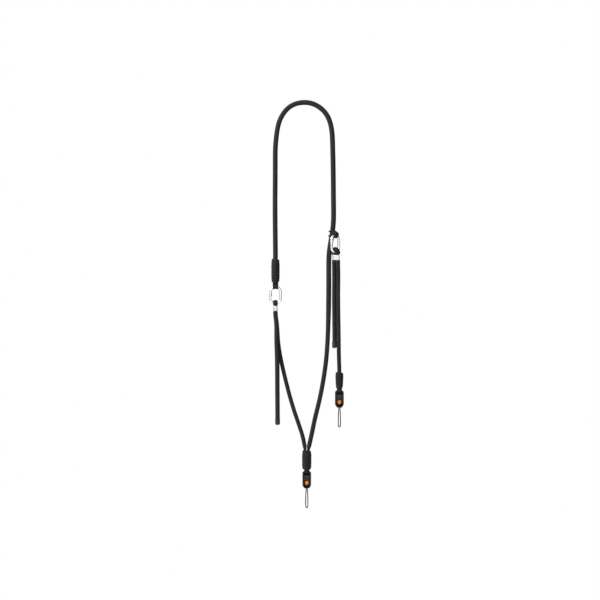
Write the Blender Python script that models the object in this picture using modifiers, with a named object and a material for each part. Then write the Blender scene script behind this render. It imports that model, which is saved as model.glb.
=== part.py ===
"""Crossbody camera strap made of braided rope, hanging from the middle of its arch.

Metres, +Z up, +X to the right, and the front faces -Y. The origin is the underside of the main rope at
the top of its arch, where a hook or a shoulder carries the strap.
"""

import math

import bmesh
import bpy
import numpy as np
from mathutils import Matrix, Vector

# Clearance between pieces that touch
GAP = 0.0003

# Ropes
MAIN_ROPE_D = 0.0084
SIDE_ROPE_D = 0.0073
MAIN_ROPE_END_R = 0.0027
SIDE_ROPE_END_R = 0.0026
ROPE_SIDES = 8

# Oval spring rings: outer size, wire, and the gate in one straight side
RING_WIDTH = 0.0235
RING_HEIGHT = 0.0360
RING_WIRE_D = 0.0050
GATE_D = 0.0053
GATE_PIVOT_RISE = 0.0024
GATE_TONGUE = 0.0016
GATE_TONGUE_R = 0.0017
GATE_PIN_R = 0.0007
GATE_SLANT = math.radians(24)
GATE_HEEL = math.radians(42)

# Turns of the two rings about the vertical, and the middle of the right ring's top bar
LEFT_RING_TURN = 0.0
RIGHT_RING_TURN = math.radians(43)
RIGHT_BAR_AT = (0.05795, -0.0086, -0.2435)

# Rope bights round the rings' bottom bars, and the crimped ferrules under them
LEFT_BIGHT_R = 0.0022
RIGHT_BIGHT_R = 0.0027
FERRULE_ROPE_R = 0.0026
FERRULE_WALL = 0.00075
FERRULE_HEIGHT = 0.0093
FERRULE_FLARE = 0.0005
LEGS_MOUTH = 0.0018
LEGS_FREE = 0.0050
LEFT_FERRULE_DROP = 0.0048
RIGHT_FERRULE_DROP = 0.0057
LEFT_LEGS_TURN = math.radians(-90)
RIGHT_LEGS_TURN = math.radians(-15)
RIGHT_BIGHT_SLIDE = math.radians(14)

# Caps on the two rope tails
TAIL_CAP_WALL = 0.0004
TAIL_CAP_HEIGHT = 0.0120
TAIL_CAP_FLOOR = 0.0009
TAIL_CAP_LIP = 0.0002
TAIL_CAP_CORNER = 0.0010

# Whippings: thickness over the rope, height, turns of cord
WHIP_SIDES = 12
WHIP_GROOVE = 0.0006
LEFT_WHIP_WALL = 0.0039
LEFT_WHIP_HEIGHT = 0.0441
LEFT_WHIP_TURNS = 12
SIDE_WHIP_TOP_WALL = 0.0034
SIDE_WHIP_BOTTOM_WALL = 0.0022
SIDE_WHIP_HEIGHT = 0.0308
SIDE_WHIP_TURNS = 10
LOWER_WHIP_WALL = 0.0026
LOWER_WHIP_DEPTH_SHARE = 0.74
LOWER_WHIP_HEIGHT = 0.0365
LOWER_WHIP_TURNS = 10

# Flattened rope eyes
RING_EYE_THICK = 0.0012
RING_EYE_WIDTH = 0.0094
RING_EYE_TOP_WIDTH = 0.0076
RING_EYE_NECK = 0.0078
LINK_EYE_THICK = 0.0013
LINK_EYE_WIDTH = 0.0088
LINK_EYE_TOP_WIDTH = 0.0054
LINK_EYE_NECK = 0.0040
EYE_REACH = 0.0140
EYE_SLIT = 0.0006

# Thin cord hitch on the right ring
HITCH_CORD_R = 0.0013
HITCH_SLACK = 0.0016
HITCH_KNOB_R = 0.0016
HITCH_SLIDES = (-4, 9, 22)
HITCH_UPPER_TURN_DROP = 0.2357
HITCH_LOWER_TURN_DROP = 0.2442

# Quick-release connectors, measured down from the top of the housing
HOUSING_WIDTH = 0.0157
HOUSING_HEIGHT = 0.0316
HOUSING_DEPTH = 0.0085
HOUSING_TOP_R = 0.0030
HOUSING_FOOT_IN = 0.0030
HOUSING_FOOT_RISE = 0.0065
HOUSING_EDGE = 0.0008
CROSSBAR_R = 0.0015
CROSSBAR_DROP = 0.0017
WINDOW_WIDTH = 0.0098
WINDOW_DROP = 0.0072
WINDOW_ARCH = 0.0008
LATCH_TOP_DROP = 0.0083
LATCH_WIDTH = 0.0092
LATCH_HEIGHT = 0.0080
LATCH_THICK = 0.0018
LATCH_PROUD = 0.0005
ANCHOR_R = 0.0042
ANCHOR_DROP = 0.0216
ANCHOR_TIP_DROP = 0.0060
ANCHOR_TIP_WIDTH = 0.0024
ANCHOR_THICK = 0.0031
ANCHOR_SUNK = 0.0012
RECESS_MARGIN = 0.00045
RECESS_FOOT_DROP = 0.0280
RECESS_MOUTH = 0.0062

# Thin camera loops
LOOP_CORD_D = 0.0016
LOOP_HALF_WIDTH = 0.0021
LOOP_DROP = 0.0680

# Places of the connectors: the middle of the housing's top edge
SIDE_CONNECTOR_AT = (0.0659, -0.0040, -0.5312)
LOWER_CONNECTOR_AT = (0.0053, 0.0, -0.6815)

# Route of the main rope, from inside the left whipping over the arch to the lower whipping
MAIN_ROUTE = [
    (-0.0529, 0.0, -0.3172), (-0.0529, 0.0, -0.3000), (-0.0529, 0.0, -0.2850), (-0.0534, 0.0, -0.2300),
    (-0.0536, 0.0, -0.1700), (-0.0533, 0.0, -0.1150), (-0.0526, 0.0, -0.0740), (-0.0501, 0.0, -0.0510),
    (-0.0465, 0.0, -0.0340), (-0.0391, 0.0, -0.0181), (-0.0267, 0.0, -0.0045), (-0.0139, 0.0, 0.0019),
    (0.0000, 0.0, 0.0040), (0.0142, 0.0, 0.0023), (0.0272, 0.0, -0.0038), (0.0378, 0.0, -0.0129),
    (0.0454, 0.0, -0.0246), (0.0499, 0.0, -0.0378), (0.0521, 0.0, -0.0507), (0.0535, 0.0, -0.0760),
    (0.0546, 0.0, -0.1300), (0.0551, 0.0, -0.1850), (0.0546, 0.0, -0.2217), (0.0521, 0.0, -0.2425),
    (0.0490, 0.0, -0.2610), (0.0469, 0.0, -0.2780), (0.0462, 0.0, -0.3100), (0.0460, 0.0, -0.3670),
    (0.0445, 0.0, -0.4285), (0.0413, 0.0, -0.4750), (0.0361, 0.0, -0.5122), (0.0289, 0.0, -0.5494),
    (0.0200, 0.0, -0.5866), (0.0122, 0.0, -0.6234), (0.0098, 0.0, -0.6338), (0.0085, 0.0, -0.6415),
    (0.0084, 0.0, -0.6540), (0.0083, 0.0, -0.6641),
]

# Free runs of the left rope: up from the lower whipping, and down from the ferrule to the tail
LEFT_RISE_ROUTE = [
    (0.0024, 0.0, -0.6641), (0.0023, 0.0, -0.6540), (0.0021, 0.0, -0.6415), (0.0011, 0.0, -0.6338),
    (-0.0007, 0.0005, -0.6242), (-0.0060, 0.0014, -0.6052), (-0.0124, 0.0020, -0.5866),
    (-0.0243, 0.0026, -0.5494),
    (-0.0341, 0.0030, -0.5122), (-0.0426, 0.0033, -0.4750), (-0.0482, 0.0035, -0.4378),
    (-0.0512, 0.0036, -0.4010),
]
LEFT_TAIL_ROUTE = [
    (-0.0516, -0.0037, -0.4010), (-0.0508, -0.0039, -0.4300), (-0.0498, -0.0040, -0.4700),
    (-0.0493, -0.0040, -0.5200), (-0.0490, -0.0040, -0.5650), (-0.0489, -0.0040, -0.5939),
]

# Free runs of the right rope: up from the side whipping, and down from the ferrule to the tail
RIGHT_RISE_ROUTE = [
    (0.0659, -0.0040, -0.5138), (0.0658, -0.0040, -0.4970), (0.0651, -0.0041, -0.4720),
    (0.0646, -0.0044, -0.4350), (0.0639, -0.0048, -0.3900), (0.0636, -0.0052, -0.3450),
    (0.0637, -0.0056, -0.3120),
]
RIGHT_TAIL_ROUTE = [
    (0.0563, -0.0034, -0.3120), (0.0562, -0.0030, -0.3450), (0.0564, -0.0022, -0.3900),
    (0.0569, -0.0010, -0.4370), (0.0569, -0.0010, -0.4513),
]

# What follows from the sizes
RING_WIRE_R = RING_WIRE_D / 2
RING_ARC_R = (RING_WIDTH - RING_WIRE_D) / 2
RING_STRAIGHT = (RING_HEIGHT - RING_WIDTH) / 2
BAR_HEIGHT = RING_STRAIGHT + RING_ARC_R
PIVOT_Z = GATE_PIVOT_RISE - RING_STRAIGHT
LEFT_BAR_AT = Vector(MAIN_ROUTE[0]) - Vector((0, 0, GAP + EYE_REACH + RING_EYE_NECK))
WINDOW_DEEP = CROSSBAR_R + LINK_EYE_THICK + 2 * GAP
TAIL_CAP_R = SIDE_ROPE_D / 2 + GAP + TAIL_CAP_WALL
LEFT_WHIP_R = MAIN_ROPE_D / 2 + LEFT_WHIP_WALL
SIDE_WHIP_TOP_R = SIDE_ROPE_D / 2 + SIDE_WHIP_TOP_WALL
SIDE_WHIP_BOTTOM_R = SIDE_ROPE_D / 2 + SIDE_WHIP_BOTTOM_WALL
LOWER_WHIP_R = MAIN_ROPE_END_R * 2 + LOWER_WHIP_WALL


def ring_frame(bar_at, turn):
    """The frame of a ring's centre, from the middle of its top bar."""
    top_bar = Matrix.Translation(bar_at) @ Matrix.Rotation(turn, 4, "Z")
    return top_bar @ Matrix.Translation((0, 0, -BAR_HEIGHT))


LEFT_RING = ring_frame(LEFT_BAR_AT, LEFT_RING_TURN)
RIGHT_RING = ring_frame(RIGHT_BAR_AT, RIGHT_RING_TURN)


def clear_scene():
    for thing in list(bpy.data.objects):
        bpy.data.objects.remove(thing, do_unlink=True)


def new_collection(name):
    collection = bpy.data.collections.new(name)
    bpy.context.scene.collection.children.link(collection)
    return collection


def new_material(name, colour, roughness, metallic=0.0):
    material = bpy.data.materials.new(name)
    material.use_nodes = True
    shader = material.node_tree.nodes["Principled BSDF"]
    shader.inputs["Base Color"].default_value = (*colour, 1)
    shader.inputs["Roughness"].default_value = roughness
    shader.inputs["Metallic"].default_value = metallic
    material.diffuse_color = (*colour, 1)
    return material


clear_scene()
PARTS = new_collection("camera_strap")
CUTTERS = new_collection("cutters")
ROPE_BLACK = new_material("rope_black", (0.030, 0.030, 0.032), 0.85)
CORD_BLACK = new_material("cord_black", (0.035, 0.035, 0.037), 0.80)
CAP_BLACK = new_material("cap_black", (0.050, 0.050, 0.052), 0.60)
STEEL = new_material("steel", (0.80, 0.80, 0.81), 0.22, 1.0)
MOULDED_BLACK = new_material("moulded_black", (0.045, 0.045, 0.048), 0.50)
ANCHOR_ORANGE = new_material("anchor_orange", (0.75, 0.20, 0.03), 0.40)
LOOP_GREY = new_material("loop_grey", (0.10, 0.10, 0.10), 0.70)


def keep(thing, material, place=None, smooth=True):
    """Put a finished piece in the part's collection, with its material and place."""
    PARTS.objects.link(thing)
    thing.data.materials.append(material)
    if place is not None:
        thing.matrix_world = place
    if smooth and thing.type == "MESH":
        thing.data.shade_smooth()
        thing.data.set_sharp_from_angle(angle=math.radians(35))
    return thing


def guide(thing, place=None):
    """Put a shape that only cuts or joins in the cutters' collection."""
    CUTTERS.objects.link(thing)
    thing.display_type = "WIRE"
    thing.hide_render = True
    if place is not None:
        thing.matrix_world = place
    return thing


def combine(piece, other, operation):
    modifier = piece.modifiers.new(operation.lower(), "BOOLEAN")
    modifier.operation = operation
    modifier.object = other
    modifier.solver = "EXACT"


def mesh_object(name, bm):
    bmesh.ops.recalc_face_normals(bm, faces=bm.faces)
    mesh = bpy.data.meshes.new(name)
    bm.to_mesh(mesh)
    bm.free()
    return bpy.data.objects.new(name, mesh)


def rod(name, radius, length, axis, centre=(0, 0, 0), sides=16):
    """A round bar along X, Y or Z."""
    turn = {
        "X": Matrix.Rotation(math.radians(90), 4, "Y"),
        "Y": Matrix.Rotation(math.radians(90), 4, "X"),
        "Z": Matrix.Identity(4),
    }[axis]
    bm = bmesh.new()
    bmesh.ops.create_cone(bm, cap_ends=True, segments=sides, radius1=radius, radius2=radius, depth=length,
                          matrix=Matrix.Translation(centre) @ turn)
    return mesh_object(name, bm)


def box(name, low, high, turn=None):
    """A block between two corners; turn is applied about the middle of the scene's own axes."""
    size = [b - a for a, b in zip(low, high)]
    middle = [(a + b) / 2 for a, b in zip(low, high)]
    bm = bmesh.new()
    matrix = Matrix.Translation(middle) @ Matrix.Diagonal((*size, 1))
    bmesh.ops.create_cube(bm, size=1, matrix=matrix if turn is None else turn @ matrix)
    return mesh_object(name, bm)


def plate(name, outline, front, back):
    """A flat piece with an outline in X and Z, from y = front to y = back."""
    bm = bmesh.new()
    face = bm.faces.new([bm.verts.new((x, front, z)) for x, z in outline])
    grown = bmesh.ops.extrude_face_region(bm, geom=[face])
    moved = [item for item in grown["geom"] if isinstance(item, bmesh.types.BMVert)]
    bmesh.ops.translate(bm, verts=moved, vec=(0, back - front, 0))
    return mesh_object(name, bm)


def arc(centre, radii, start, end, steps):
    """Points of an elliptical arc in a plane; angles in degrees."""
    points = []
    for step in range(steps + 1):
        angle = math.radians(start + (end - start) * step / steps)
        points.append((centre[0] + radii[0] * math.cos(angle), centre[1] + radii[1] * math.sin(angle)))
    return points


def loft(name, rings, closed=False):
    """A skin over rings of points; a closed one has its last ring joined to its first."""
    bm = bmesh.new()
    layers = [[bm.verts.new(point) for point in ring] for ring in rings]
    pairs = list(zip(layers, layers[1:]))
    if closed:
        pairs.append((layers[-1], layers[0]))
    else:
        bm.faces.new(list(reversed(layers[0])))
        bm.faces.new(layers[-1])
    for below, above in pairs:
        for k in range(len(below)):
            after = (k + 1) % len(below)
            bm.faces.new((below[k], below[after], above[after], above[k]))
    return mesh_object(name, bm)


def turned(name, profile, sides, closed=False):
    """A Screw modifier on a profile in X and Z whose outer side runs down."""
    mesh = bpy.data.meshes.new(name)
    edges = [(k, k + 1) for k in range(len(profile) - 1)]
    if closed:
        edges.append((len(profile) - 1, 0))
    mesh.from_pydata([(x, 0, z) for x, z in profile], edges, [])
    thing = bpy.data.objects.new(name, mesh)
    screw = thing.modifiers.new("turn", "SCREW")
    screw.axis = "Z"
    screw.steps = sides
    screw.render_steps = sides
    screw.use_merge_vertices = True
    screw.merge_threshold = 0.00001
    screw.use_smooth_shade = True
    return thing


def smooth_route(rows, step):
    """Points on a natural cubic spline through rows of x, y, z and radius share.

    Each gap between two rows is divided so that no piece is longer than step.
    """
    rows = np.array(rows, dtype=float)
    gaps = np.linalg.norm(np.diff(rows[:, :3], axis=0), axis=1)
    count = len(rows)
    system = np.eye(count)
    right = np.zeros_like(rows)
    for i in range(1, count - 1):
        system[i, i - 1] = gaps[i - 1]
        system[i, i] = 2 * (gaps[i - 1] + gaps[i])
        system[i, i + 1] = gaps[i]
        right[i] = 6 * ((rows[i + 1] - rows[i]) / gaps[i] - (rows[i] - rows[i - 1]) / gaps[i - 1])
    bend = np.linalg.solve(system, right)
    bend[:, 3] = 0
    points = [rows[0]]
    for i, gap in enumerate(gaps):
        parts = max(1, math.ceil(gap / step))
        for k in range(1, parts + 1):
            b = k / parts
            a = 1 - b
            curved = ((a ** 3 - a) * bend[i] + (b ** 3 - b) * bend[i + 1]) * gap * gap / 6
            points.append(a * rows[i] + b * rows[i + 1] + curved)
    return points


def tube(name, points, radius, sides, closed=False):
    """A curve object with a round bevel; a point may give a share of the radius."""
    curve = bpy.data.curves.new(name, "CURVE")
    curve.dimensions = "3D"
    curve.fill_mode = "FULL"
    curve.bevel_depth = radius
    curve.bevel_resolution = (sides - 4) // 2
    curve.render_resolution_u = 0
    curve.use_fill_caps = not closed
    spline = curve.splines.new("POLY")
    spline.points.add(len(points) - 1)
    for point, row in zip(spline.points, points):
        point.co = (row[0], row[1], row[2], 1)
        point.radius = row[3] if len(row) > 3 else 1
    spline.use_cyclic_u = closed
    spline.use_smooth = True
    return bpy.data.objects.new(name, curve)


def mesh_of(thing):
    """Turn a curve object that isn't linked yet into a mesh object with welded caps."""
    bpy.context.scene.collection.objects.link(thing)
    depsgraph = bpy.context.evaluated_depsgraph_get()
    mesh = bpy.data.meshes.new_from_object(thing.evaluated_get(depsgraph))
    name = thing.name
    place = thing.matrix_world.copy()
    bpy.data.objects.remove(thing, do_unlink=True)
    bm = bmesh.new()
    bm.from_mesh(mesh)
    bmesh.ops.remove_doubles(bm, verts=bm.verts, dist=0.00001)
    bmesh.ops.recalc_face_normals(bm, faces=bm.faces)
    bm.to_mesh(mesh)
    bm.free()
    made = bpy.data.objects.new(name, mesh)
    made.matrix_world = place
    return made


def gate_body(prefix, place):
    """The sprung gate, built about its own hinge axis, which is local Y."""
    length = RING_STRAIGHT * 2
    top = length - GATE_PIVOT_RISE
    heel = GATE_PIVOT_RISE - GAP
    radius = GATE_D / 2
    far = RING_WIDTH
    gate = rod(f"{prefix}_gate", radius, length * 1.4, "Z", (0, 0, length * 0.5), 16)
    slant = Matrix.Translation((0, 0, top - GAP)) @ Matrix.Rotation(-GATE_SLANT, 4, "Y")
    nose_cut = box(f"{prefix}_gate_nose_cut", (-far, -far, 0), (far, far, far), slant)
    heel_cut = box(f"{prefix}_gate_heel_cut", (-far, -far, -far), (far, far, -heel))
    corner = Matrix.Translation((0, 0, -heel)) @ Matrix.Rotation(-GATE_HEEL, 4, "Y")
    corner_cut = box(f"{prefix}_gate_corner_cut", (0, -far, -far), (far, far, 0), corner)
    slot_half = GATE_TONGUE / 2 + GAP
    slot_top = GATE_TONGUE_R + GAP
    fork_cut = box(f"{prefix}_gate_fork_cut", (-far, -slot_half, -far), (far, slot_half, slot_top))
    bore_cut = rod(f"{prefix}_gate_bore_cut", (GATE_PIN_R + GAP) * 1.03, far, "Y", sides=12)
    for cutter in (nose_cut, heel_cut, corner_cut, fork_cut, bore_cut):
        guide(cutter, place)
        combine(gate, cutter, "DIFFERENCE")
    keep(gate, STEEL, place)


def spring_ring(prefix, frame):
    """An oval wire ring with a tongue at the lower end of its gap, and the gate and pin that fill it."""
    a = RING_ARC_R
    h = RING_STRAIGHT
    stub = RING_WIRE_R * math.tan(GATE_SLANT) * 1.5
    path = [(-a, h - stub)] + arc((0, h), (a, a), 180, 0, 10) + arc((0, -h), (a, a), 0, -180, 10)
    wire = mesh_of(tube(f"{prefix}_ring", [(x, 0, z) for x, z in path], RING_WIRE_R, 12))
    keep(wire, STEEL, frame)

    slant = frame @ Matrix.Translation((-a, 0, h)) @ Matrix.Rotation(-GATE_SLANT, 4, "Y")
    nose_cut = box(f"{prefix}_ring_nose_cut", (-a / 2, -a, -a), (a / 2, a, 0))
    combine(wire, guide(nose_cut, slant), "DIFFERENCE")

    root = h + RING_WIRE_R
    side = arc((-a, PIVOT_Z), (GATE_TONGUE_R, GATE_TONGUE_R), 0, 180, 8)
    outline = side + [(-a - GATE_TONGUE_R, -root), (-a + GATE_TONGUE_R, -root)]
    tongue = plate(f"{prefix}_ring_tongue", outline, -GATE_TONGUE / 2, GATE_TONGUE / 2)
    combine(wire, guide(tongue, frame), "UNION")

    hinge = frame @ Matrix.Translation((-a, 0, PIVOT_Z))
    bore = rod(f"{prefix}_ring_bore_cut", (GATE_PIN_R + GAP) * 1.03, RING_WIDTH, "Y", sides=12)
    combine(wire, guide(bore, hinge), "DIFFERENCE")

    keep(rod(f"{prefix}_gate_pin", GATE_PIN_R, RING_WIRE_D * 0.92, "Y", sides=12), STEEL, hinge)
    gate_body(prefix, hinge)


def eye_loop(name, bar, bar_radius, bar_bend, sizes, neck, material):
    """A flattened rope eye: down one side of a bar, under it and up the other, closed inside a whipping.

    bar is the frame of the bar's middle, with the bar along local X; bar_bend is the radius of its curve.
    """
    thick, width, top_width = sizes
    around = bar_radius + GAP + thick / 2
    top_y = (EYE_SLIT + thick) / 2
    top_z = neck + EYE_REACH - top_y - thick / 2
    under = [(y, z) for y, z in arc((0, 0), (around, around), -215, 35, 12)]
    waist = (top_y, neck)
    over = arc((0, top_z), (top_y, top_y), 0, 180, 4)
    path = under + [waist] + over + [(-top_y, neck)]
    stations = (-1, -0.5, 0, 0.5, 1) if bar_bend else (-1, 0, 1)
    rings = []
    for k, (y, z) in enumerate(path):
        before = Vector(path[k - 1])
        after = Vector(path[(k + 1) % len(path)])
        along = (after - before).normalized()
        out = Vector((along[1], -along[0]))
        share = min(1.0, max(0.0, (z - around * 0.5) / (neck - around * 0.5)))
        half = (width * (1 - share) + top_width * share) / 2
        inner = []
        outer = []
        for x in stations:
            drop = 0.0
            if bar_bend:
                level = bar_bend + z - out[1] * thick / 2
                drop = (level - math.sqrt(level ** 2 - (x * half) ** 2)) * (1 - share)
            inner.append((x * half, y - out[0] * thick / 2, z - out[1] * thick / 2 - drop))
            outer.append((x * half, y + out[0] * thick / 2, z + out[1] * thick / 2 - drop))
        rings.append(inner + list(reversed(outer)))
    keep(loft(name, rings, closed=True), material, bar)


def whipping(name, place, top_r, bottom_r, height, turns, bore_r, depth_share=1.0):
    """Turns of cord wound side by side, as a ridged sleeve whose foot is at the frame's origin."""
    pitch = height / turns
    round_in = math.cos(math.pi / WHIP_SIDES)
    profile = []
    for turn in range(turns):
        top = height - turn * pitch
        share = (turn + 0.5) / turns
        radius = top_r * (1 - share) + bottom_r * share
        if turn in (0, turns - 1):
            radius -= WHIP_GROOVE
        profile.append((radius - WHIP_GROOVE, top - pitch * 0.04))
        profile.append((radius, top - pitch * 0.30))
        profile.append((radius, top - pitch * 0.70))
    profile.append((profile[-1][0] - WHIP_GROOVE, 0))
    profile += [(bore_r / round_in, 0), (bore_r / round_in, height - pitch * 0.04)]
    sleeve = turned(name, profile, WHIP_SIDES, closed=True)
    keep(sleeve, CORD_BLACK, place @ Matrix.Diagonal((1, depth_share, 1, 1)), smooth=False)


def ferrule(name, place):
    """A crimped oval sleeve with its top at the frame's origin; the two legs lie along local X."""
    half_gap = FERRULE_ROPE_R + GAP / 2
    bore = FERRULE_ROPE_R + GAP * 1.4
    wall = FERRULE_WALL
    flare = FERRULE_FLARE

    def oval(radius, z):
        right = arc((half_gap, 0), (radius, radius), -90, 90, 7)
        left = arc((-half_gap, 0), (radius, radius), 90, 270, 7)
        return [(x, y, z) for x, y in right + left]

    inner = bore / math.cos(math.radians(90 / 7))
    rings = [
        oval(inner + flare, 0), oval(bore + wall * 0.8 + flare, 0), oval(bore + wall, -flare * 2),
        oval(bore + wall, flare * 2 - FERRULE_HEIGHT), oval(bore + wall * 0.8 + flare, -FERRULE_HEIGHT),
        oval(inner + flare, -FERRULE_HEIGHT), oval(inner, flare * 3 - FERRULE_HEIGHT),
        oval(inner, -flare * 3),
    ]
    keep(loft(name, rings, closed=True), STEEL, place)


def bight(bar, bar_turn, legs_turn, drop, rope_r):
    """Rows of a rope over a ring's bottom bar and down through a ferrule, front leg first.

    bar is the bar's middle; bar_turn is the heading of the bight over the bar and legs_turn the heading
    of the two legs in the ferrule, both as angles of the front leg from +X. rope_r is the rope's radius
    over the bar.
    """
    share = rope_r / (SIDE_ROPE_D / 2)
    held = FERRULE_ROPE_R / (SIDE_ROPE_D / 2)
    over = RING_WIRE_R + GAP * 2 + rope_r
    leg = FERRULE_ROPE_R + GAP / 2
    free = (SIDE_ROPE_D + GAP) / 2
    foot = drop + FERRULE_HEIGHT

    def row(side, reach, fall, turn, radius):
        heading = bar_turn * (1 - turn) + legs_turn * turn
        x = bar[0] + side * reach * math.cos(heading)
        y = bar[1] + side * reach * math.sin(heading)
        return (x, y, bar[2] - fall, radius)

    leg_rows = [
        (free, foot + LEGS_FREE, 1.0, 0.97), (leg + GAP / 2, foot + LEGS_MOUTH, 1.0, held),
        (leg, foot - FERRULE_HEIGHT * 0.1, 1.0, held), (leg, foot - FERRULE_HEIGHT * 0.5, 1.0, held),
        (leg, foot - FERRULE_HEIGHT * 0.9, 1.0, held), (leg, drop, 1.0, held * 0.8 + share * 0.2),
        (over * 0.65, drop * 0.80, 0.90, held * 0.8 + share * 0.2), (over * 0.94, drop * 0.43, 0.4, share),
        (over, 0.0, 0.0, share),
    ]
    rows = [row(1, *values) for values in leg_rows]
    for angle in (30, 60, 90, 120, 150):
        tilt = math.radians(angle)
        rows.append(row(1, over * math.cos(tilt), -over * math.sin(tilt), 0.0, share))
    rows += [row(-1, *values) for values in reversed(leg_rows)]
    return rows


def with_share(route, share=1.0):
    return [(x, y, z, share) for x, y, z in route]


def rope_with_tail(name, rise, crossing, tail, thin_rows):
    """The whole side rope: up from its whipping, over the ring's bar and down to its tail."""
    thin = SIDE_ROPE_END_R / (SIDE_ROPE_D / 2)
    rows = with_share(rise[:thin_rows], thin) + with_share(rise[thin_rows:])
    rows += crossing + with_share(tail)
    points = smooth_route(rows, SIDE_ROPE_D * 2.4)
    keep(tube(name, points, SIDE_ROPE_D / 2, ROPE_SIDES), ROPE_BLACK)


def tail_cap(name, end):
    """The sealed cap on a rope tail, as a cup whose floor is just under the rope's end."""
    bore = (SIDE_ROPE_D / 2 + GAP) / math.cos(math.pi / 16)
    floor = -GAP
    bottom = floor - TAIL_CAP_FLOOR
    top = bottom + TAIL_CAP_HEIGHT
    radius = TAIL_CAP_R
    corner = TAIL_CAP_CORNER
    profile = [
        (0, floor), (bore, floor), (bore, top), (radius - TAIL_CAP_LIP, top), (radius, top - corner),
        (radius, bottom + corner * 1.4), (radius - corner, bottom), (0, bottom),
    ]
    keep(turned(name, profile, 16), CAP_BLACK, Matrix.Translation(end), smooth=False)


def belt(centre, radius, knob, knob_radius):
    """A closed loop drawn tight round two circles that lie level, each at its own height."""
    across = Vector((knob[0] - centre[0], knob[1] - centre[1]))
    lean = math.acos((radius - knob_radius) / across.length)
    heading = math.atan2(across[1], across[0])
    points = []
    for step in range(12):
        angle = heading + lean + (2 * math.pi - 2 * lean) * step / 11
        x = centre[0] + radius * math.cos(angle)
        points.append((x, centre[1] + radius * math.sin(angle), centre[2]))
    for step in range(4):
        angle = heading - lean + 2 * lean * step / 3
        x = knob[0] + knob_radius * math.cos(angle)
        points.append((x, knob[1] + knob_radius * math.sin(angle), knob[2]))
    return points


def rope_at(drop):
    """Where the right side of the main rope is at a height below the origin."""
    right_side = [row for row in MAIN_ROUTE if row[0] > 0]
    for upper, lower in zip(right_side, right_side[1:]):
        if lower[2] <= -drop <= upper[2]:
            share = (-drop - upper[2]) / (lower[2] - upper[2])
            x = upper[0] + (lower[0] - upper[0]) * share
            return (x, upper[1] + (lower[1] - upper[1]) * share, -drop)
    return right_side[-1]


def hitch():
    """Cord wound three times over the right ring's top bar and twice round the main rope."""
    name = "right_hitch"
    around_bar = RING_WIRE_R + GAP * 1.7 + HITCH_CORD_R
    around_rope = MAIN_ROPE_D / 2 + GAP * 1.5 + HITCH_CORD_R
    lift = HITCH_SLACK / 2
    wraps = []
    for slide in HITCH_SLIDES:
        lean = math.radians(slide)
        out = Vector((math.sin(lean), 0, math.cos(lean)))
        middle = Vector((0, 0, RING_STRAIGHT)) + out * (RING_ARC_R + lift)
        points = []
        for step in range(12):
            angle = 2 * math.pi * step / 12
            spot = middle + out * (around_bar + lift) * math.sin(angle)
            spot += Vector((0, 1, 0)) * around_bar * math.cos(angle)
            points.append(tuple(RIGHT_RING @ spot))
        wraps.append(points)
    lean = math.radians(HITCH_SLIDES[1])
    out = Vector((math.sin(lean), 0, math.cos(lean)))
    knob_top = Vector((0, 0, RING_STRAIGHT)) + out * (RING_ARC_R + around_bar + HITCH_SLACK)
    upper = belt(rope_at(HITCH_UPPER_TURN_DROP), around_rope, RIGHT_RING @ knob_top, HITCH_KNOB_R)
    lean = math.radians(HITCH_SLIDES[1] + 6)
    out = Vector((math.sin(lean), 0, math.cos(lean)))
    knob_back = Vector((0, around_bar, RING_STRAIGHT)) + out * RING_ARC_R
    knob_back += Vector((0, HITCH_CORD_R, 0))
    lower = belt(rope_at(HITCH_LOWER_TURN_DROP), around_rope, RIGHT_RING @ knob_back, HITCH_KNOB_R)
    loops = wraps + [upper, lower]
    pieces = []
    for k, points in enumerate(loops):
        label = name if k == 0 else f"{name}_loop_{k}"
        pieces.append(mesh_of(tube(label, points, HITCH_CORD_R, 8, closed=True)))
    for extra in pieces[1:]:
        combine(pieces[0], guide(extra), "UNION")
    keep(pieces[0], CORD_BLACK)


def housing_outline():
    half = HOUSING_WIDTH / 2
    top_r = HOUSING_TOP_R
    foot = (HOUSING_FOOT_IN, HOUSING_FOOT_RISE)
    foot_z = HOUSING_FOOT_RISE - HOUSING_HEIGHT
    outline = arc((half - top_r, -top_r), (top_r, top_r), 90, 0, 3)
    outline += arc((half - foot[0], foot_z), foot, 0, -90, 5)
    outline += arc((foot[0] - half, foot_z), foot, -90, -180, 5)
    outline += arc((top_r - half, -top_r), (top_r, top_r), 180, 90, 3)
    return outline


def anchor_outline():
    """The teardrop of the anchor disc, with its point cut flat."""
    tip = -ANCHOR_DROP - ANCHOR_TIP_DROP
    half_tip = ANCHOR_TIP_WIDTH / 2
    round_end = arc((0, -ANCHOR_DROP), (ANCHOR_R, ANCHOR_R), -38, 218, 14)
    return [(half_tip, tip)] + round_end + [(-half_tip, tip)]


def recess_outline():
    """The slot for the anchor disc: round at the top and open at the housing's foot, where it narrows."""
    radius = ANCHOR_R + RECESS_MARGIN
    mouth = RECESS_MOUTH / 2
    below = HOUSING_HEIGHT + HOUSING_EDGE * 2
    top = arc((0, -ANCHOR_DROP), (radius, radius), 0, 180, 12)
    left = [(-radius, -RECESS_FOOT_DROP), (-mouth, -HOUSING_HEIGHT), (-mouth, -below)]
    return top + left + [(-x, z) for x, z in reversed(left)]


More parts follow.
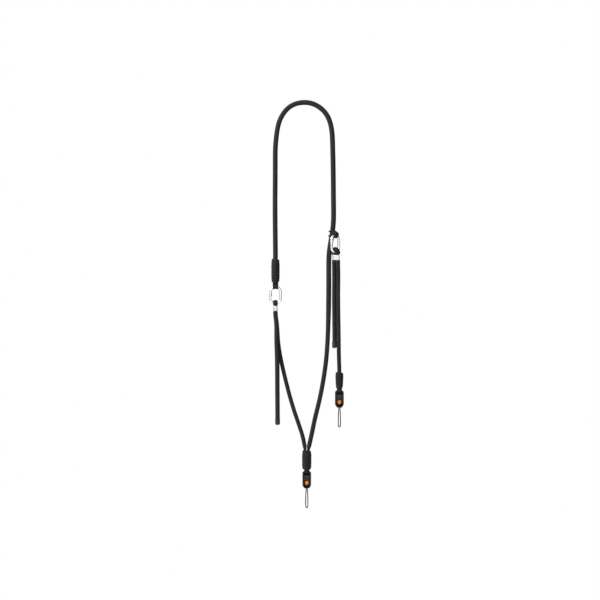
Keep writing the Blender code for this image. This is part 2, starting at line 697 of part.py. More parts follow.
def connector(prefix, at):
    """A quick-release connector: housing, latch, anchor disc and the thin loop that hangs from it."""
    place = Matrix.Translation(at)
    front = -HOUSING_DEPTH / 2
    deep = front + ANCHOR_SUNK + ANCHOR_THICK + GAP
    ahead = front - HOUSING_EDGE * 2
    latch_foot = LATCH_TOP_DROP + LATCH_HEIGHT
    arch = WINDOW_ARCH

    def arched(half, top, bottom):
        """A flat outline with straight sides whose top edge rises to its middle."""
        rise = [(x * half, top + arch * (1 - x * x)) for x in (-1, -0.5, 0, 0.5, 1)]
        return rise + [(half, bottom), (-half, bottom)]

    housing = plate(f"{prefix}_housing", housing_outline(), front, -front)
    bevel = housing.modifiers.new("edge", "BEVEL")
    bevel.width = HOUSING_EDGE
    bevel.segments = 2
    bevel.limit_method = "ANGLE"
    bevel.angle_limit = math.radians(60)

    half = WINDOW_WIDTH / 2
    sill = [(x * half, arch * (1 - x * x) - WINDOW_DROP) for x in (-1, -0.5, 0, 0.5, 1)]
    sill += [(half, HOUSING_EDGE * 2), (-half, HOUSING_EDGE * 2)]
    window = plate(f"{prefix}_window_cut", sill, ahead, WINDOW_DEEP)
    combine(housing, guide(window, place), "DIFFERENCE")
    bar_length = WINDOW_WIDTH + HOUSING_EDGE * 2
    bar = rod(f"{prefix}_crossbar", CROSSBAR_R, bar_length, "X", (0, 0, -CROSSBAR_DROP), 12)
    combine(housing, guide(bar, place), "UNION")

    pocket = arched(LATCH_WIDTH / 2 + GAP, GAP - LATCH_TOP_DROP, -latch_foot - GAP)
    pocket_deep = front - LATCH_PROUD + LATCH_THICK + GAP
    pocket_cut = plate(f"{prefix}_pocket_cut", pocket, ahead, pocket_deep)
    combine(housing, guide(pocket_cut, place), "DIFFERENCE")

    tip = -ANCHOR_DROP - ANCHOR_TIP_DROP
    recess = plate(f"{prefix}_recess_cut", recess_outline(), ahead, deep)
    combine(housing, guide(recess, place), "DIFFERENCE")
    keep(housing, MOULDED_BLACK, place)

    latch_shape = arched(LATCH_WIDTH / 2, -LATCH_TOP_DROP, -latch_foot)
    latch_front = front - LATCH_PROUD
    latch = plate(f"{prefix}_latch", latch_shape, latch_front, latch_front + LATCH_THICK)
    keep(latch, MOULDED_BLACK, place)

    anchor_front = front + ANCHOR_SUNK
    anchor = plate(f"{prefix}_anchor", anchor_outline(), anchor_front, anchor_front + ANCHOR_THICK)
    keep(anchor, ANCHOR_ORANGE, place)

    cord_y = anchor_front + ANCHOR_THICK / 2
    close = LOOP_CORD_D / 2 + GAP / 2
    wide = LOOP_HALF_WIDTH
    mouth = -HOUSING_HEIGHT
    fall = LOOP_DROP - HOUSING_HEIGHT
    strand = [
        (close, tip - GAP), (close, mouth), (close + (wide - close) * 0.45, mouth - fall * 0.20),
        (close + (wide - close) * 0.85, mouth - fall * 0.48), (wide, mouth - fall * 0.72),
        (wide * 0.96, mouth - fall * 0.87), (wide * 0.66, mouth - fall * 0.965), (0, mouth - fall),
    ]
    mirrored = [(-x, z) for x, z in reversed(strand[:-1])]
    rows = [(x, cord_y, z, 1.0) for x, z in strand + mirrored]
    points = [tuple(place @ Vector(row[:3])) for row in smooth_route(rows, LOOP_CORD_D * 7)]
    keep(tube(f"{prefix}_cord", points, LOOP_CORD_D / 2, 8), LOOP_GREY)


def bar_frame(ring, up):
    """The frame of a ring's top bar (up = 1) or bottom bar (up = -1)."""
    return ring @ Matrix.Translation((0, 0, up * BAR_HEIGHT))


def build():
    main_rows = with_share(MAIN_ROUTE)
    thin = MAIN_ROPE_END_R / (MAIN_ROPE_D / 2)
    for k in (-3, -2, -1):
        main_rows[k] = (*MAIN_ROUTE[k], thin)
    main_points = smooth_route(main_rows, MAIN_ROPE_D * 2.3)
    keep(tube("main_rope", main_points, MAIN_ROPE_D / 2, ROPE_SIDES), ROPE_BLACK)

    spring_ring("left", LEFT_RING)
    spring_ring("right", RIGHT_RING)

    top_bar = bar_frame(LEFT_RING, 1)
    ring_eye = (RING_EYE_THICK, RING_EYE_WIDTH, RING_EYE_TOP_WIDTH)
    eye_loop("left_eye", top_bar, RING_WIRE_R, RING_ARC_R, ring_eye, RING_EYE_NECK, ROPE_BLACK)
    whipping("left_whipping", top_bar @ Matrix.Translation((0, 0, RING_EYE_NECK)), LEFT_WHIP_R, LEFT_WHIP_R,
             LEFT_WHIP_HEIGHT, LEFT_WHIP_TURNS, MAIN_ROPE_D / 2 + GAP)

    left_bar = bar_frame(LEFT_RING, -1).translation
    left_bight = bight(left_bar, LEFT_RING_TURN - math.pi / 2, LEFT_LEGS_TURN, LEFT_FERRULE_DROP, LEFT_BIGHT_R)
    rope_with_tail("left_rope", LEFT_RISE_ROUTE, list(reversed(left_bight)), LEFT_TAIL_ROUTE, 3)
    tail_cap("left_rope_end", LEFT_TAIL_ROUTE[-1])
    drop = Matrix.Translation(left_bar - Vector((0, 0, LEFT_FERRULE_DROP)))
    ferrule("left_ferrule", drop @ Matrix.Rotation(LEFT_LEGS_TURN, 4, "Z"))

    slide = RIGHT_BIGHT_SLIDE
    fall = RING_STRAIGHT + RING_ARC_R * math.cos(slide)
    right_bar = RIGHT_RING @ Vector((RING_ARC_R * math.sin(slide), 0, -fall))
    over_bar = RIGHT_RING_TURN - math.pi / 2
    right_bight = bight(right_bar, over_bar, RIGHT_LEGS_TURN, RIGHT_FERRULE_DROP, RIGHT_BIGHT_R)
    rope_with_tail("right_rope", RIGHT_RISE_ROUTE, right_bight, RIGHT_TAIL_ROUTE, 0)
    tail_cap("right_rope_end", RIGHT_TAIL_ROUTE[-1])
    drop = Matrix.Translation(right_bar - Vector((0, 0, RIGHT_FERRULE_DROP)))
    ferrule("right_ferrule", drop @ Matrix.Rotation(RIGHT_LEGS_TURN, 4, "Z"))
    hitch()

    link_eye = (LINK_EYE_THICK, LINK_EYE_WIDTH, LINK_EYE_TOP_WIDTH)
    for prefix, at in (("side", SIDE_CONNECTOR_AT), ("lower", LOWER_CONNECTOR_AT)):
        connector(prefix, at)
        bar = Matrix.Translation(at) @ Matrix.Translation((0, 0, -CROSSBAR_DROP))
        eye_loop(f"{prefix}_eye", bar, CROSSBAR_R, None, link_eye, LINK_EYE_NECK, ROPE_BLACK)
        foot = bar @ Matrix.Translation((0, 0, LINK_EYE_NECK))
        if prefix == "side":
            whipping("side_whipping", foot, SIDE_WHIP_TOP_R, SIDE_WHIP_BOTTOM_R, SIDE_WHIP_HEIGHT,
                     SIDE_WHIP_TURNS, SIDE_ROPE_D / 2 + GAP)
        else:
            bore = MAIN_ROPE_END_R * 2 + GAP * 1.6
            whipping("lower_whipping", foot, LOWER_WHIP_R, LOWER_WHIP_R, LOWER_WHIP_HEIGHT,
                     LOWER_WHIP_TURNS, bore, LOWER_WHIP_DEPTH_SHARE)


build()
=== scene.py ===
import math

import bmesh
import bpy
import numpy as np
from mathutils import Matrix, Vector


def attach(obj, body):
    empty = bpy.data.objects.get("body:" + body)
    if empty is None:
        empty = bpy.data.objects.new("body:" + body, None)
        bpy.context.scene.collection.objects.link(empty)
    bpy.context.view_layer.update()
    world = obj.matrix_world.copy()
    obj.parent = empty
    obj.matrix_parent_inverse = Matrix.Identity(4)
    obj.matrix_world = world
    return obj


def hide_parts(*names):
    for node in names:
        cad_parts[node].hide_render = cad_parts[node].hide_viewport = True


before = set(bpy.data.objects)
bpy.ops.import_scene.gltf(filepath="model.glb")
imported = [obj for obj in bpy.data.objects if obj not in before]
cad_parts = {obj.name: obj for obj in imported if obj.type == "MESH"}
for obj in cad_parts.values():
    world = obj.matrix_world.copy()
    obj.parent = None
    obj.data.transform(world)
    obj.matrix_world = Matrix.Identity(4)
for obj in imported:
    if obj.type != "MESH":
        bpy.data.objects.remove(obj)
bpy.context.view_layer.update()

# Looks of the rope camera strap: metres, +Z up, the front faces -Y, origin under the top of the arch.

STRAP = "strap"
GAP = 0.0003

# Ropes: diameter, radius inside a whipping, strands each way round, height of the braid and its middle
MAIN_ROPE_D = 0.0084
SIDE_ROPE_D = 0.0073
MAIN_ROPE_END_R = 0.0027
SIDE_ROPE_END_R = 0.0026
ROPE_STRANDS = 12
ROPE_RELIEF = 0.00030
BRAID_LEVEL = 0.40
ROPE_SWELL = 0.0001

# A rope's width seen from the front over its diameter: on the arch, below LOW_FROM and on the tails
LEFT_FULLNESS = 1.04
RIGHT_FULLNESS = 1.07
LOW_FULLNESS = 0.96
LOW_FROM = -0.42
TAIL_FULLNESS = {"left": 1.11, "right": 1.03}

# Mesh of a braid
COLUMNS_PER_STRAND = 4
ROWS_PER_STRAND = 3.0

# Rings, as in the part, and the groove along each gate
RING_WIDTH = 0.0235
RING_HEIGHT = 0.0360
RING_WIRE_R = 0.0025
RING_ARC_R = RING_WIDTH / 2 - RING_WIRE_R
RING_STRAIGHT = (RING_HEIGHT - RING_WIDTH) / 2
BAR_HEIGHT = RING_STRAIGHT + RING_ARC_R
GATE_R = 0.00265
GATE_PIVOT_RISE = 0.0024
GATE_TONGUE = 0.0016
GATE_TONGUE_R = 0.0017
GATE_PIN_R = 0.0007
GATE_SLANT = math.radians(24)
GATE_HEEL = math.radians(42)
GATE_CHANNEL_TURN = Matrix.Rotation(math.radians(-42), 4, "Z")
GATE_CHANNEL_HALF = 0.00080
GATE_CHANNEL_FLOOR = 0.0012
GATE_CHANNEL_ENDS = (0.0004, 0.0010)
PIVOT_Z = GATE_PIVOT_RISE - RING_STRAIGHT
LEFT_BAR_AT = (-0.0529, 0.0, -0.3393)
RIGHT_BAR_AT = (0.05795, -0.0086, -0.2435)
LEFT_RING_TURN = 0.0
RIGHT_RING_TURN = math.radians(43)

# Bights and ferrules; a bight's half width and half thickness over the bar, and its width below the ferrule
LEFT_BIGHT = (0.0042, 0.0021, 1.10)
RIGHT_BIGHT = (0.0048, 0.0031, 1.08)
BIGHT_SEAT = 0.0002
FERRULE_ROPE_R = 0.0026
FERRULE_WALL = 0.00075
FERRULE_HEIGHT = 0.0093
FERRULE_FLARE = 0.0001
CRIMP_DEPTH = 0.00012
CRIMP_SPREAD = 0.0024
LEFT_FERRULE_DROP = 0.0040
RIGHT_FERRULE_DROP = 0.0057
LEFT_LEGS_TURN = math.radians(-90)
RIGHT_LEGS_TURN = math.radians(-15)
RIGHT_BIGHT_SLIDE = math.radians(14)
RIGHT_BIGHT_LEAN = -0.0016

# Rope tails' caps
TAIL_CAP_R = 0.0046
TAIL_CAP_HEIGHT = 0.0120
TAIL_CAP_FLOOR = 0.0013
TAIL_CAP_LIP = 0.0006
TAIL_CAP_CORNER = (0.0030, 0.0034)

# Whippings: radius over the cord at the top and the foot, height, turns, depth over width
WHIPPINGS = {
    "left": (0.0081, 0.0081, 0.0450, 12, 1.0),
    "side": (0.0080, 0.0068, 0.0317, 10, 1.0),
    "lower": (0.0090, 0.0090, 0.0365, 10, 0.74),
}
WHIP_BARREL = 0.0009
CORD_OVERLAP = 1.03
CORD_STRANDS = 8
THIN_STRANDS = 6
CORD_RELIEF = 0.00010
LOOP_RELIEF = 0.00005

# Eyes: thickness, half width at the bar and at the neck, height of the neck, and the ring bar's bend
RING_EYE = (0.0010, 0.0052, 0.0050, 0.0078, 0.0100)
LINK_EYE = (0.0021, 0.0046, 0.0046, 0.0040, None)
EYE_RISE = 0.0060
EYE_SLIT = 0.0006

# Hitch
HITCH_CORD_R = 0.00125
HITCH_SLACK = 0.0016
HITCH_KNOB_R = 0.0016
HITCH_SLIDES = (-4, 9, 22, -16)
HITCH_UPPER_TURN_AT = (0.05292, 0.0, -0.2357)
HITCH_LOWER_TURN_AT = (0.05182, 0.0, -0.2442)

# Connectors, measured down from the top of the housing
HOUSING_WIDTH = 0.0162
HOUSING_HEIGHT = 0.0320
HOUSING_DEPTH = 0.0085
HOUSING_TOP_R = 0.0044
HOUSING_FOOT_IN = 0.0040
HOUSING_FOOT_RISE = 0.0061
FOOT_ROUNDNESS = 0.25
HOUSING_EDGE = 0.0008
CROSSBAR_R = 0.0015
CROSSBAR_DROP = 0.0017
WINDOW_WIDTH = 0.0098
WINDOW_DROP = 0.0076
WINDOW_ARCH = 0.0008
WINDOW_DEEP = 0.0036
LATCH_TOP_DROP = 0.0083
LATCH_WIDTH = 0.0092
LATCH_HEIGHT = 0.0080
LATCH_THICK = 0.0018
LATCH_PROUD = 0.0005
LATCH_EDGE = 0.00035
GROOVE_R = 0.0004
GROOVE_RISE = 0.0020
FINE_EDGE = 0.00018
ANCHOR_R = 0.0042
ANCHOR_DROP = 0.0212
ANCHOR_TIP_DROP = 0.0060
ANCHOR_TIP_WIDTH = 0.0024
ANCHOR_THICK = 0.0031
ANCHOR_SUNK = 0.0012
ANCHOR_DOME = 0.0018
RECESS_MARGIN = 0.00045
RECESS_FOOT_DROP = 0.0280
RECESS_MOUTH = 0.0062
SIDE_CONNECTOR_AT = (0.0659, -0.0040, -0.5312)
LOWER_CONNECTOR_AT = (0.0053, 0.0, -0.6815)

# Painted shade in slots and grooves and on the anchor disc's tip: the depth where it starts, how much deeper
# it is full, and its colour
WINDOW_SHADE = (0.0004, 0.0016)
CHANNEL_SHADE = (0.00005, 0.0006)
ANCHOR_SHADE = (0.0034, 0.0014)
PAINTED_SHADE_COLOUR = (0.0006, 0.0006, 0.0006, 1)

# Thin camera loops
LOOP_CORD_D = 0.0016
LOOP_CORD_R = 0.00088
LOOP_HALF_WIDTH = 0.0021
LOOP_DROP = 0.0680

# Camera, read from the photograph: a long lens level with the strap's middle
VIEW_CENTRE = (-0.00725, -0.3634)
VIEW_WIDTH = 1.116
LENS = 85.0
SENSOR = 36.0

# Floor
FLOOR_R = 2.0
FLOOR_Z = -1.05

# Strength of the tent: front, sides and back for glossy rays, and left to right for the rest
TENT_FRONT = 1.05
TENT_SIDES = (0.50, 0.02)
TENT_BACK = 0.60
TENT_LEFT = 0.64
TENT_RIGHT = 0.02

# Lamps: place, width and height, watts; all face the strap's middle
KEY = ((-1.3, -1.1, 0.9), (1.0, 1.3), 42)
FILL = ((1.5, -1.6, 0.1), (0.5, 1.2), 1.5)
LIT_POINT = (0, 0, -0.36)

# Routes of the ropes, as in the part; the main rope hangs in one plane
MAIN_ROUTE = [(x, 0.0, z) for x, z in (
    (-0.0529, -0.3172), (-0.0529, -0.3000), (-0.0529, -0.2850), (-0.0534, -0.2300), (-0.0536, -0.1700),
    (-0.0533, -0.1150), (-0.0526, -0.0740), (-0.0501, -0.0510), (-0.0465, -0.0340), (-0.0391, -0.0181),
    (-0.0267, -0.0045), (-0.0139, 0.0019), (0.0000, 0.0040), (0.0142, 0.0023), (0.0272, -0.0038),
    (0.0378, -0.0129), (0.0454, -0.0246), (0.0499, -0.0378), (0.0521, -0.0507), (0.0535, -0.0760),
    (0.0546, -0.1300), (0.0551, -0.1850), (0.0546, -0.2217), (0.0521, -0.2425), (0.0490, -0.2610),
    (0.0469, -0.2780), (0.0462, -0.3100), (0.0460, -0.3670), (0.0445, -0.4285), (0.0413, -0.4750),
    (0.0361, -0.5122), (0.0289, -0.5494), (0.0200, -0.5866), (0.0122, -0.6234), (0.0098, -0.6338),
    (0.0085, -0.6415), (0.0084, -0.6540), (0.0083, -0.6641),
)]
LEFT_RISE_ROUTE = [
    (0.0024, 0.0, -0.6641), (0.0023, 0.0, -0.6540), (0.0021, 0.0, -0.6415), (0.0011, 0.0, -0.6338),
    (-0.0007, 0.0005, -0.6242), (-0.0060, 0.0014, -0.6052), (-0.0124, 0.0020, -0.5866),
    (-0.0243, 0.0026, -0.5494), (-0.0341, 0.0030, -0.5122), (-0.0426, 0.0033, -0.4750),
    (-0.0482, 0.0035, -0.4378), (-0.0512, 0.0036, -0.4010),
]
LEFT_TAIL_ROUTE = [
    (-0.0516, -0.0037, -0.4010), (-0.0508, -0.0039, -0.4300), (-0.0498, -0.0040, -0.4700),
    (-0.0493, -0.0040, -0.5200), (-0.0490, -0.0040, -0.5650), (-0.0489, -0.0040, -0.5939),
]
RIGHT_RISE_ROUTE = [
    (0.0659, -0.0040, -0.5138), (0.0658, -0.0040, -0.4970), (0.0651, -0.0041, -0.4720),
    (0.0646, -0.0044, -0.4350), (0.0639, -0.0048, -0.3900), (0.0636, -0.0052, -0.3450),
    (0.0637, -0.0056, -0.3120),
]
RIGHT_TAIL_ROUTE = [
    (0.0563, -0.0034, -0.3120), (0.0562, -0.0030, -0.3450), (0.0564, -0.0022, -0.3900),
    (0.0569, -0.0010, -0.4370), (0.0569, -0.0010, -0.4513),
]


def raised(height):
    return Matrix.Translation((0, 0, height))


def ring_frame(bar_at, turn):
    """The frame of a ring's centre, from the middle of its top bar."""
    top_bar = Matrix.Translation(bar_at) @ Matrix.Rotation(turn, 4, "Z")
    return top_bar @ raised(-BAR_HEIGHT)


LEFT_RING = ring_frame(LEFT_BAR_AT, LEFT_RING_TURN)
RIGHT_RING = ring_frame(RIGHT_BAR_AT, RIGHT_RING_TURN)


# Lines in space

def smooth_route(rows, step):
    """Points on a natural cubic spline through rows of x, y, z and any further columns, which are eased."""
    rows = np.array(rows, dtype=float)
    gaps = np.linalg.norm(np.diff(rows[:, :3], axis=0), axis=1)
    count = len(rows)
    system = np.eye(count)
    right = np.zeros_like(rows)
    for i in range(1, count - 1):
        system[i, i - 1] = gaps[i - 1]
        system[i, i] = 2 * (gaps[i - 1] + gaps[i])
        system[i, i + 1] = gaps[i]
        right[i] = 6 * ((rows[i + 1] - rows[i]) / gaps[i] - (rows[i] - rows[i - 1]) / gaps[i - 1])
    bend = np.linalg.solve(system, right)
    bend[:, 3:] = 0
    points = [rows[0]]
    for i, gap in enumerate(gaps):
        parts = max(1, math.ceil(gap / step))
        for k in range(1, parts + 1):
            b = k / parts
            a = 1 - b
            curved = ((a ** 3 - a) * bend[i] + (b ** 3 - b) * bend[i + 1]) * gap * gap / 6
            point = a * rows[i] + b * rows[i + 1] + curved
            eased = b * b * (3 - 2 * b)
            point[3:] = rows[i][3:] * (1 - eased) + rows[i + 1][3:] * eased
            points.append(point)
    return np.array(points)


def evenly(points, spacing):
    """The same line with its points about one spacing apart, and how far along each one is."""
    steps = np.linalg.norm(np.diff(points[:, :3], axis=0), axis=1)
    along = np.concatenate([[0], np.cumsum(steps)])
    count = max(4, round(along[-1] / spacing))
    even = np.linspace(0, along[-1], count + 1)
    columns = [np.interp(even, along, points[:, k]) for k in range(points.shape[1])]
    return np.stack(columns, axis=1), even


def carried_frames(line, closed):
    """Tangents and two side vectors along a line, turned as little as possible from point to point."""
    if closed:
        tangents = np.roll(line, -1, axis=0) - np.roll(line, 1, axis=0)
    else:
        tangents = np.gradient(line, axis=0)
    tangents /= np.linalg.norm(tangents, axis=1)[:, None]
    start = np.array([0.0, -1.0, 0.0])
    if abs(tangents[0] @ start) > 0.8:
        start = np.array([1.0, 0.0, 0.0])
    sides = np.empty_like(line)
    side = start
    for k, tangent in enumerate(tangents):
        side = side - tangent * (side @ tangent)
        side = side / np.linalg.norm(side)
        sides[k] = side
    others = np.cross(tangents, sides)
    if closed:
        first = sides[0]
        last = sides[-1] - tangents[0] * (sides[-1] @ tangents[0])
        miss = math.atan2(float(last @ others[0]), float(last @ first))
        turn = -miss * np.arange(len(line))[:, None] / len(line)
        turned_sides = sides * np.cos(turn) + others * np.sin(turn)
        others = others * np.cos(turn) - sides * np.sin(turn)
        sides = turned_sides
    return tangents, sides, others


# Braided rope and cord

def braid_height(a, b):
    """Height of a two-over, two-under braid, from 0 in its seams to 1 on its strands."""
    i = np.floor(a)
    j = np.floor(b)
    a_over = np.mod(i + j, 4) < 2
    across = np.where(a_over, a - i, b - j) - 0.5
    travelled = np.where(a_over, np.mod(b + i, 4), np.mod(a + j + 2, 4))
    crown = np.sqrt(np.clip(1 - (across * 1.9) ** 2, 0, 1))
    arch = np.sqrt(np.clip(np.sin(travelled * math.pi / 2), 0, 1))
    return crown * (0.4 + 0.6 * arch)


def braided_tube(name, rows, radius, strands, relief, wide=None, closed=False, bend=None):
    """A rope's sheath along rows of x, y, z and, if given, radius share, half width and half thickness.

    wide is the way that the flattened stretches are wide. A row's last two values are factors on the
    radius along wide and across it. bend moves the finished points, for instance to follow a curved bar.
    """
    rows = np.array(rows, dtype=float)
    if rows.shape[1] == 3:
        rows = np.hstack([rows, np.ones((len(rows), 3))])
    pitch = 2 * math.pi * radius / strands
    if closed:
        lap = np.vstack([rows[-2:], rows, rows[:3]])
        fine = smooth_route(lap, radius / 4)
        first = np.argmin(np.linalg.norm(fine[:, :3] - rows[0, :3], axis=1))
        after = len(fine) // 2
        last = after + np.argmin(np.linalg.norm(fine[after:, :3] - rows[0, :3], axis=1))
        fine = fine[first:last + 1]
    else:
        fine = smooth_route(rows, radius / 2)
    points, along = evenly(fine, pitch / ROWS_PER_STRAND)
    whole = along[-1]
    if closed:
        points = points[:-1]
        along = along[:-1]
        pitch = whole / (4 * max(1, round(whole / pitch / 4)))
    tangents, sides, others = carried_frames(points[:, :3].copy(), closed)
    columns = strands * COLUMNS_PER_STRAND
    turn = np.arange(columns) / columns
    angle = (turn * 2 * math.pi)[None, :, None]
    ring = sides[:, None, :] * np.cos(angle) + others[:, None, :] * np.sin(angle)
    a = turn[None, :] * strands + along[:, None] / pitch + 0.125
    b = turn[None, :] * strands - along[:, None] / pitch + 0.125
    height = radius * points[:, 3][:, None] + relief * (braid_height(a, b) - BRAID_LEVEL)
    if wide is not None:
        flat = np.array(wide, dtype=float)[None, :] - tangents * (tangents @ np.array(wide))[:, None]
        flat /= np.linalg.norm(flat, axis=1)[:, None]
        thin = np.cross(tangents, flat)
        in_flat = np.einsum("rcx,rx->rc", ring, flat)[:, :, None]
        in_thin = np.einsum("rcx,rx->rc", ring, thin)[:, :, None]
        ring = in_flat * flat[:, None, :] * points[:, 4][:, None, None]
        ring = ring + in_thin * thin[:, None, :] * points[:, 5][:, None, None]
    skin = points[:, None, :3] + ring * height[:, :, None]
    if bend is not None:
        skin = bend(skin)
    return lattice(name, skin, strands, along / pitch, whole / pitch, closed), points[:, :3]


def lattice(name, skin, strands, along, whole, closed):
    """A mesh over rows and columns of points that meet round each row, with a map of where each one is."""
    row_count, columns = skin.shape[:2]
    spans = row_count if closed else row_count - 1
    row = np.repeat(np.arange(spans), columns)
    column = np.tile(np.arange(columns), spans)
    after = (column + 1) % columns
    above = (row + 1) % row_count
    quads = np.stack([row * columns + column, row * columns + after, above * columns + after,
                      above * columns + column], axis=1)
    mesh = bpy.data.meshes.new(name)
    faces = quads.tolist()
    if not closed:
        faces.append(list(range(columns - 1, -1, -1)))
        faces.append(list(range((row_count - 1) * columns, row_count * columns)))
    mesh.from_pydata(skin.reshape(-1, 3).tolist(), [], faces)
    low = column / columns * strands
    high = (column + 1) / columns * strands
    near = along[row]
    far = np.append(along, whole)[row + 1]
    corners = np.stack([low, near, high, near, high, far, low, far], axis=1).ravel()
    spare = np.zeros(2 * len(mesh.loops) - len(corners))
    layer = mesh.uv_layers.new(name="lay")
    layer.data.foreach_set("uv", np.concatenate([corners, spare]))
    mesh.shade_smooth()
    mesh.validate()
    return bpy.data.objects.new(name, mesh)


# Solids

def mesh_object(name, bm):
    bmesh.ops.recalc_face_normals(bm, faces=bm.faces)
    mesh = bpy.data.meshes.new(name)
    bm.to_mesh(mesh)
    bm.free()
    return bpy.data.objects.new(name, mesh)


def arc(centre, radii, start, end, steps):
    """Points of an elliptical arc in a plane; angles in degrees."""
    points = []
    for step in range(steps + 1):
        angle = math.radians(start + (end - start) * step / steps)
        points.append((centre[0] + radii[0] * math.cos(angle), centre[1] + radii[1] * math.sin(angle)))
    return points


def rod(name, radius, length, axis, centre=(0, 0, 0), sides=40):
    """A round bar along X, Y or Z."""
    turn = {
        "X": Matrix.Rotation(math.radians(90), 4, "Y"),
        "Y": Matrix.Rotation(math.radians(90), 4, "X"),
        "Z": Matrix.Identity(4),
    }[axis]
    bm = bmesh.new()
    bmesh.ops.create_cone(bm, cap_ends=True, segments=sides, radius1=radius, radius2=radius, depth=length,
                          matrix=Matrix.Translation(centre) @ turn)
    return mesh_object(name, bm)


def box(name, low, high, turn=None):
    size = [b - a for a, b in zip(low, high)]
    middle = [(a + b) / 2 for a, b in zip(low, high)]
    bm = bmesh.new()
    matrix = Matrix.Translation(middle) @ Matrix.Diagonal((*size, 1))
    bmesh.ops.create_cube(bm, size=1, matrix=matrix if turn is None else turn @ matrix)
    return mesh_object(name, bm)


def plate(name, outline, front, back):
    """A flat piece with an outline in X and Z, from y = front to y = back."""
    bm = bmesh.new()
    face = bm.faces.new([bm.verts.new((x, front, z)) for x, z in outline])
    grown = bmesh.ops.extrude_face_region(bm, geom=[face])
    moved = [item for item in grown["geom"] if isinstance(item, bmesh.types.BMVert)]
    bmesh.ops.translate(bm, verts=moved, vec=(0, back - front, 0))
    return mesh_object(name, bm)


def loft(name, rings, closed=False):
    """A skin over rings of points; a closed one has its last ring joined to its first."""
    bm = bmesh.new()
    layers = [[bm.verts.new(point) for point in ring] for ring in rings]
    pairs = list(zip(layers, layers[1:]))
    if closed:
        pairs.append((layers[-1], layers[0]))
    else:
        bm.faces.new(list(reversed(layers[0])))
        bm.faces.new(layers[-1])
    for below, above in pairs:
        for k in range(len(below)):
            after = (k + 1) % len(below)
            bm.faces.new((below[k], below[after], above[after], above[k]))
    return mesh_object(name, bm)


def turned(name, profile, sides=48):
    """A solid of revolution about Z from a profile of radius and height, closed on the axis at both ends."""
    rings = []
    for radius, z in profile:
        radius = max(radius, 0.00001)
        rings.append([(x, y, z) for x, y in arc((0, 0), (radius, radius), 0, 360, sides)[:-1]])
    return loft(name, rings)


def edged(thing, width, segments=3, angle=40):
    bevel = thing.modifiers.new("edge", "BEVEL")
    bevel.width = width
    bevel.segments = segments
    bevel.limit_method = "ANGLE"
    bevel.angle_limit = math.radians(angle)
    return thing


def combined(thing, operation, *others):
    for other in others:
        modifier = thing.modifiers.new(operation.lower(), "BOOLEAN")
        modifier.operation = operation
        modifier.object = other
        modifier.solver = "EXACT"


def link(thing):
    bpy.context.scene.collection.objects.link(thing)


def finished(thing, others=(), place=None, smooth=30):
    """The thing with its modifiers applied, put in its place, and the shapes that cut it taken away."""
    for item in (thing, *others):
        link(item)
    depsgraph = bpy.context.evaluated_depsgraph_get()
    mesh = bpy.data.meshes.new_from_object(thing.evaluated_get(depsgraph))
    name = thing.name
    for item in (thing, *others):
        bpy.data.objects.remove(item, do_unlink=True)
    mesh.name = name
    if place is not None:
        mesh.transform(place)
    mesh.shade_smooth()
    mesh.set_sharp_from_angle(angle=math.radians(smooth))
    return bpy.data.objects.new(name, mesh)


# Materials

def new_material(name):
    material = bpy.data.materials.new(name)
    material.use_nodes = True
    return material, material.node_tree, material.node_tree.nodes["Principled BSDF"]


def fill(tree, made, inputs):
    """Link a node's inputs where a socket is given, and set them where a value is."""
    for key, value in inputs.items():
        if isinstance(value, bpy.types.NodeSocket):
            tree.links.new(value, made.inputs[key])
        else:
            made.inputs[key].default_value = value


def node(tree, kind, inputs=None, **settings):
    made = tree.nodes.new("ShaderNode" + kind)
    for key, value in settings.items():
        setattr(made, key, value)
    fill(tree, made, inputs or {})
    return made


def maths(tree, operation, *values):
    return node(tree, "Math", dict(enumerate(values)), operation=operation).outputs[0]


def plus(tree, first, second):
    return maths(tree, "ADD", first, second)


def times(tree, first, second):
    return maths(tree, "MULTIPLY", first, second)


def rooted(tree, value):
    return maths(tree, "SQRT", maths(tree, "MAXIMUM", value, 0))


def chosen(tree, switch, when_off, when_on):
    return node(tree, "Mix", {0: switch, 2: when_off, 3: when_on}, data_type="FLOAT").outputs[0]


def tinted(tree, factor, low, high):
    return node(tree, "Mix", {0: factor, 6: (*low, 1), 7: (*high, 1)}, data_type="RGBA").outputs[2]


def noise(tree, place, scale, detail, rough=0.5):
    inputs = {"Vector": place, "Scale": scale, "Detail": detail, "Roughness": rough}
    return node(tree, "TexNoise", inputs).outputs["Fac"]


def object_noise(tree, scale, detail, stretch=(1, 1, 1)):
    place = node(tree, "TexCoord").outputs["Object"]
    return noise(tree, node(tree, "Mapping", {0: place, "Scale": stretch}).outputs[0], scale, detail)


def bumped(tree, height, strength, distance):
    return node(tree, "Bump", {"Height": height, "Strength": strength, "Distance": distance}).outputs[0]


def with_painted_shade(tree, colour, rough):
    """Colour and roughness with painted shade: blackened and made rough where the mesh is marked as lying
    deep in a slot.
    """
    # Painted shade: the mark mixes the colour towards black and raises the roughness
    deep = node(tree, "Attribute", attribute_name="painted_shade").outputs["Fac"]
    mixed = {0: deep, 6: colour, 7: PAINTED_SHADE_COLOUR}
    shade = node(tree, "Mix", mixed, data_type="RGBA").outputs[2]
    return {"Base Color": shade, "Roughness": maths(tree, "MAXIMUM", rough, deep)}


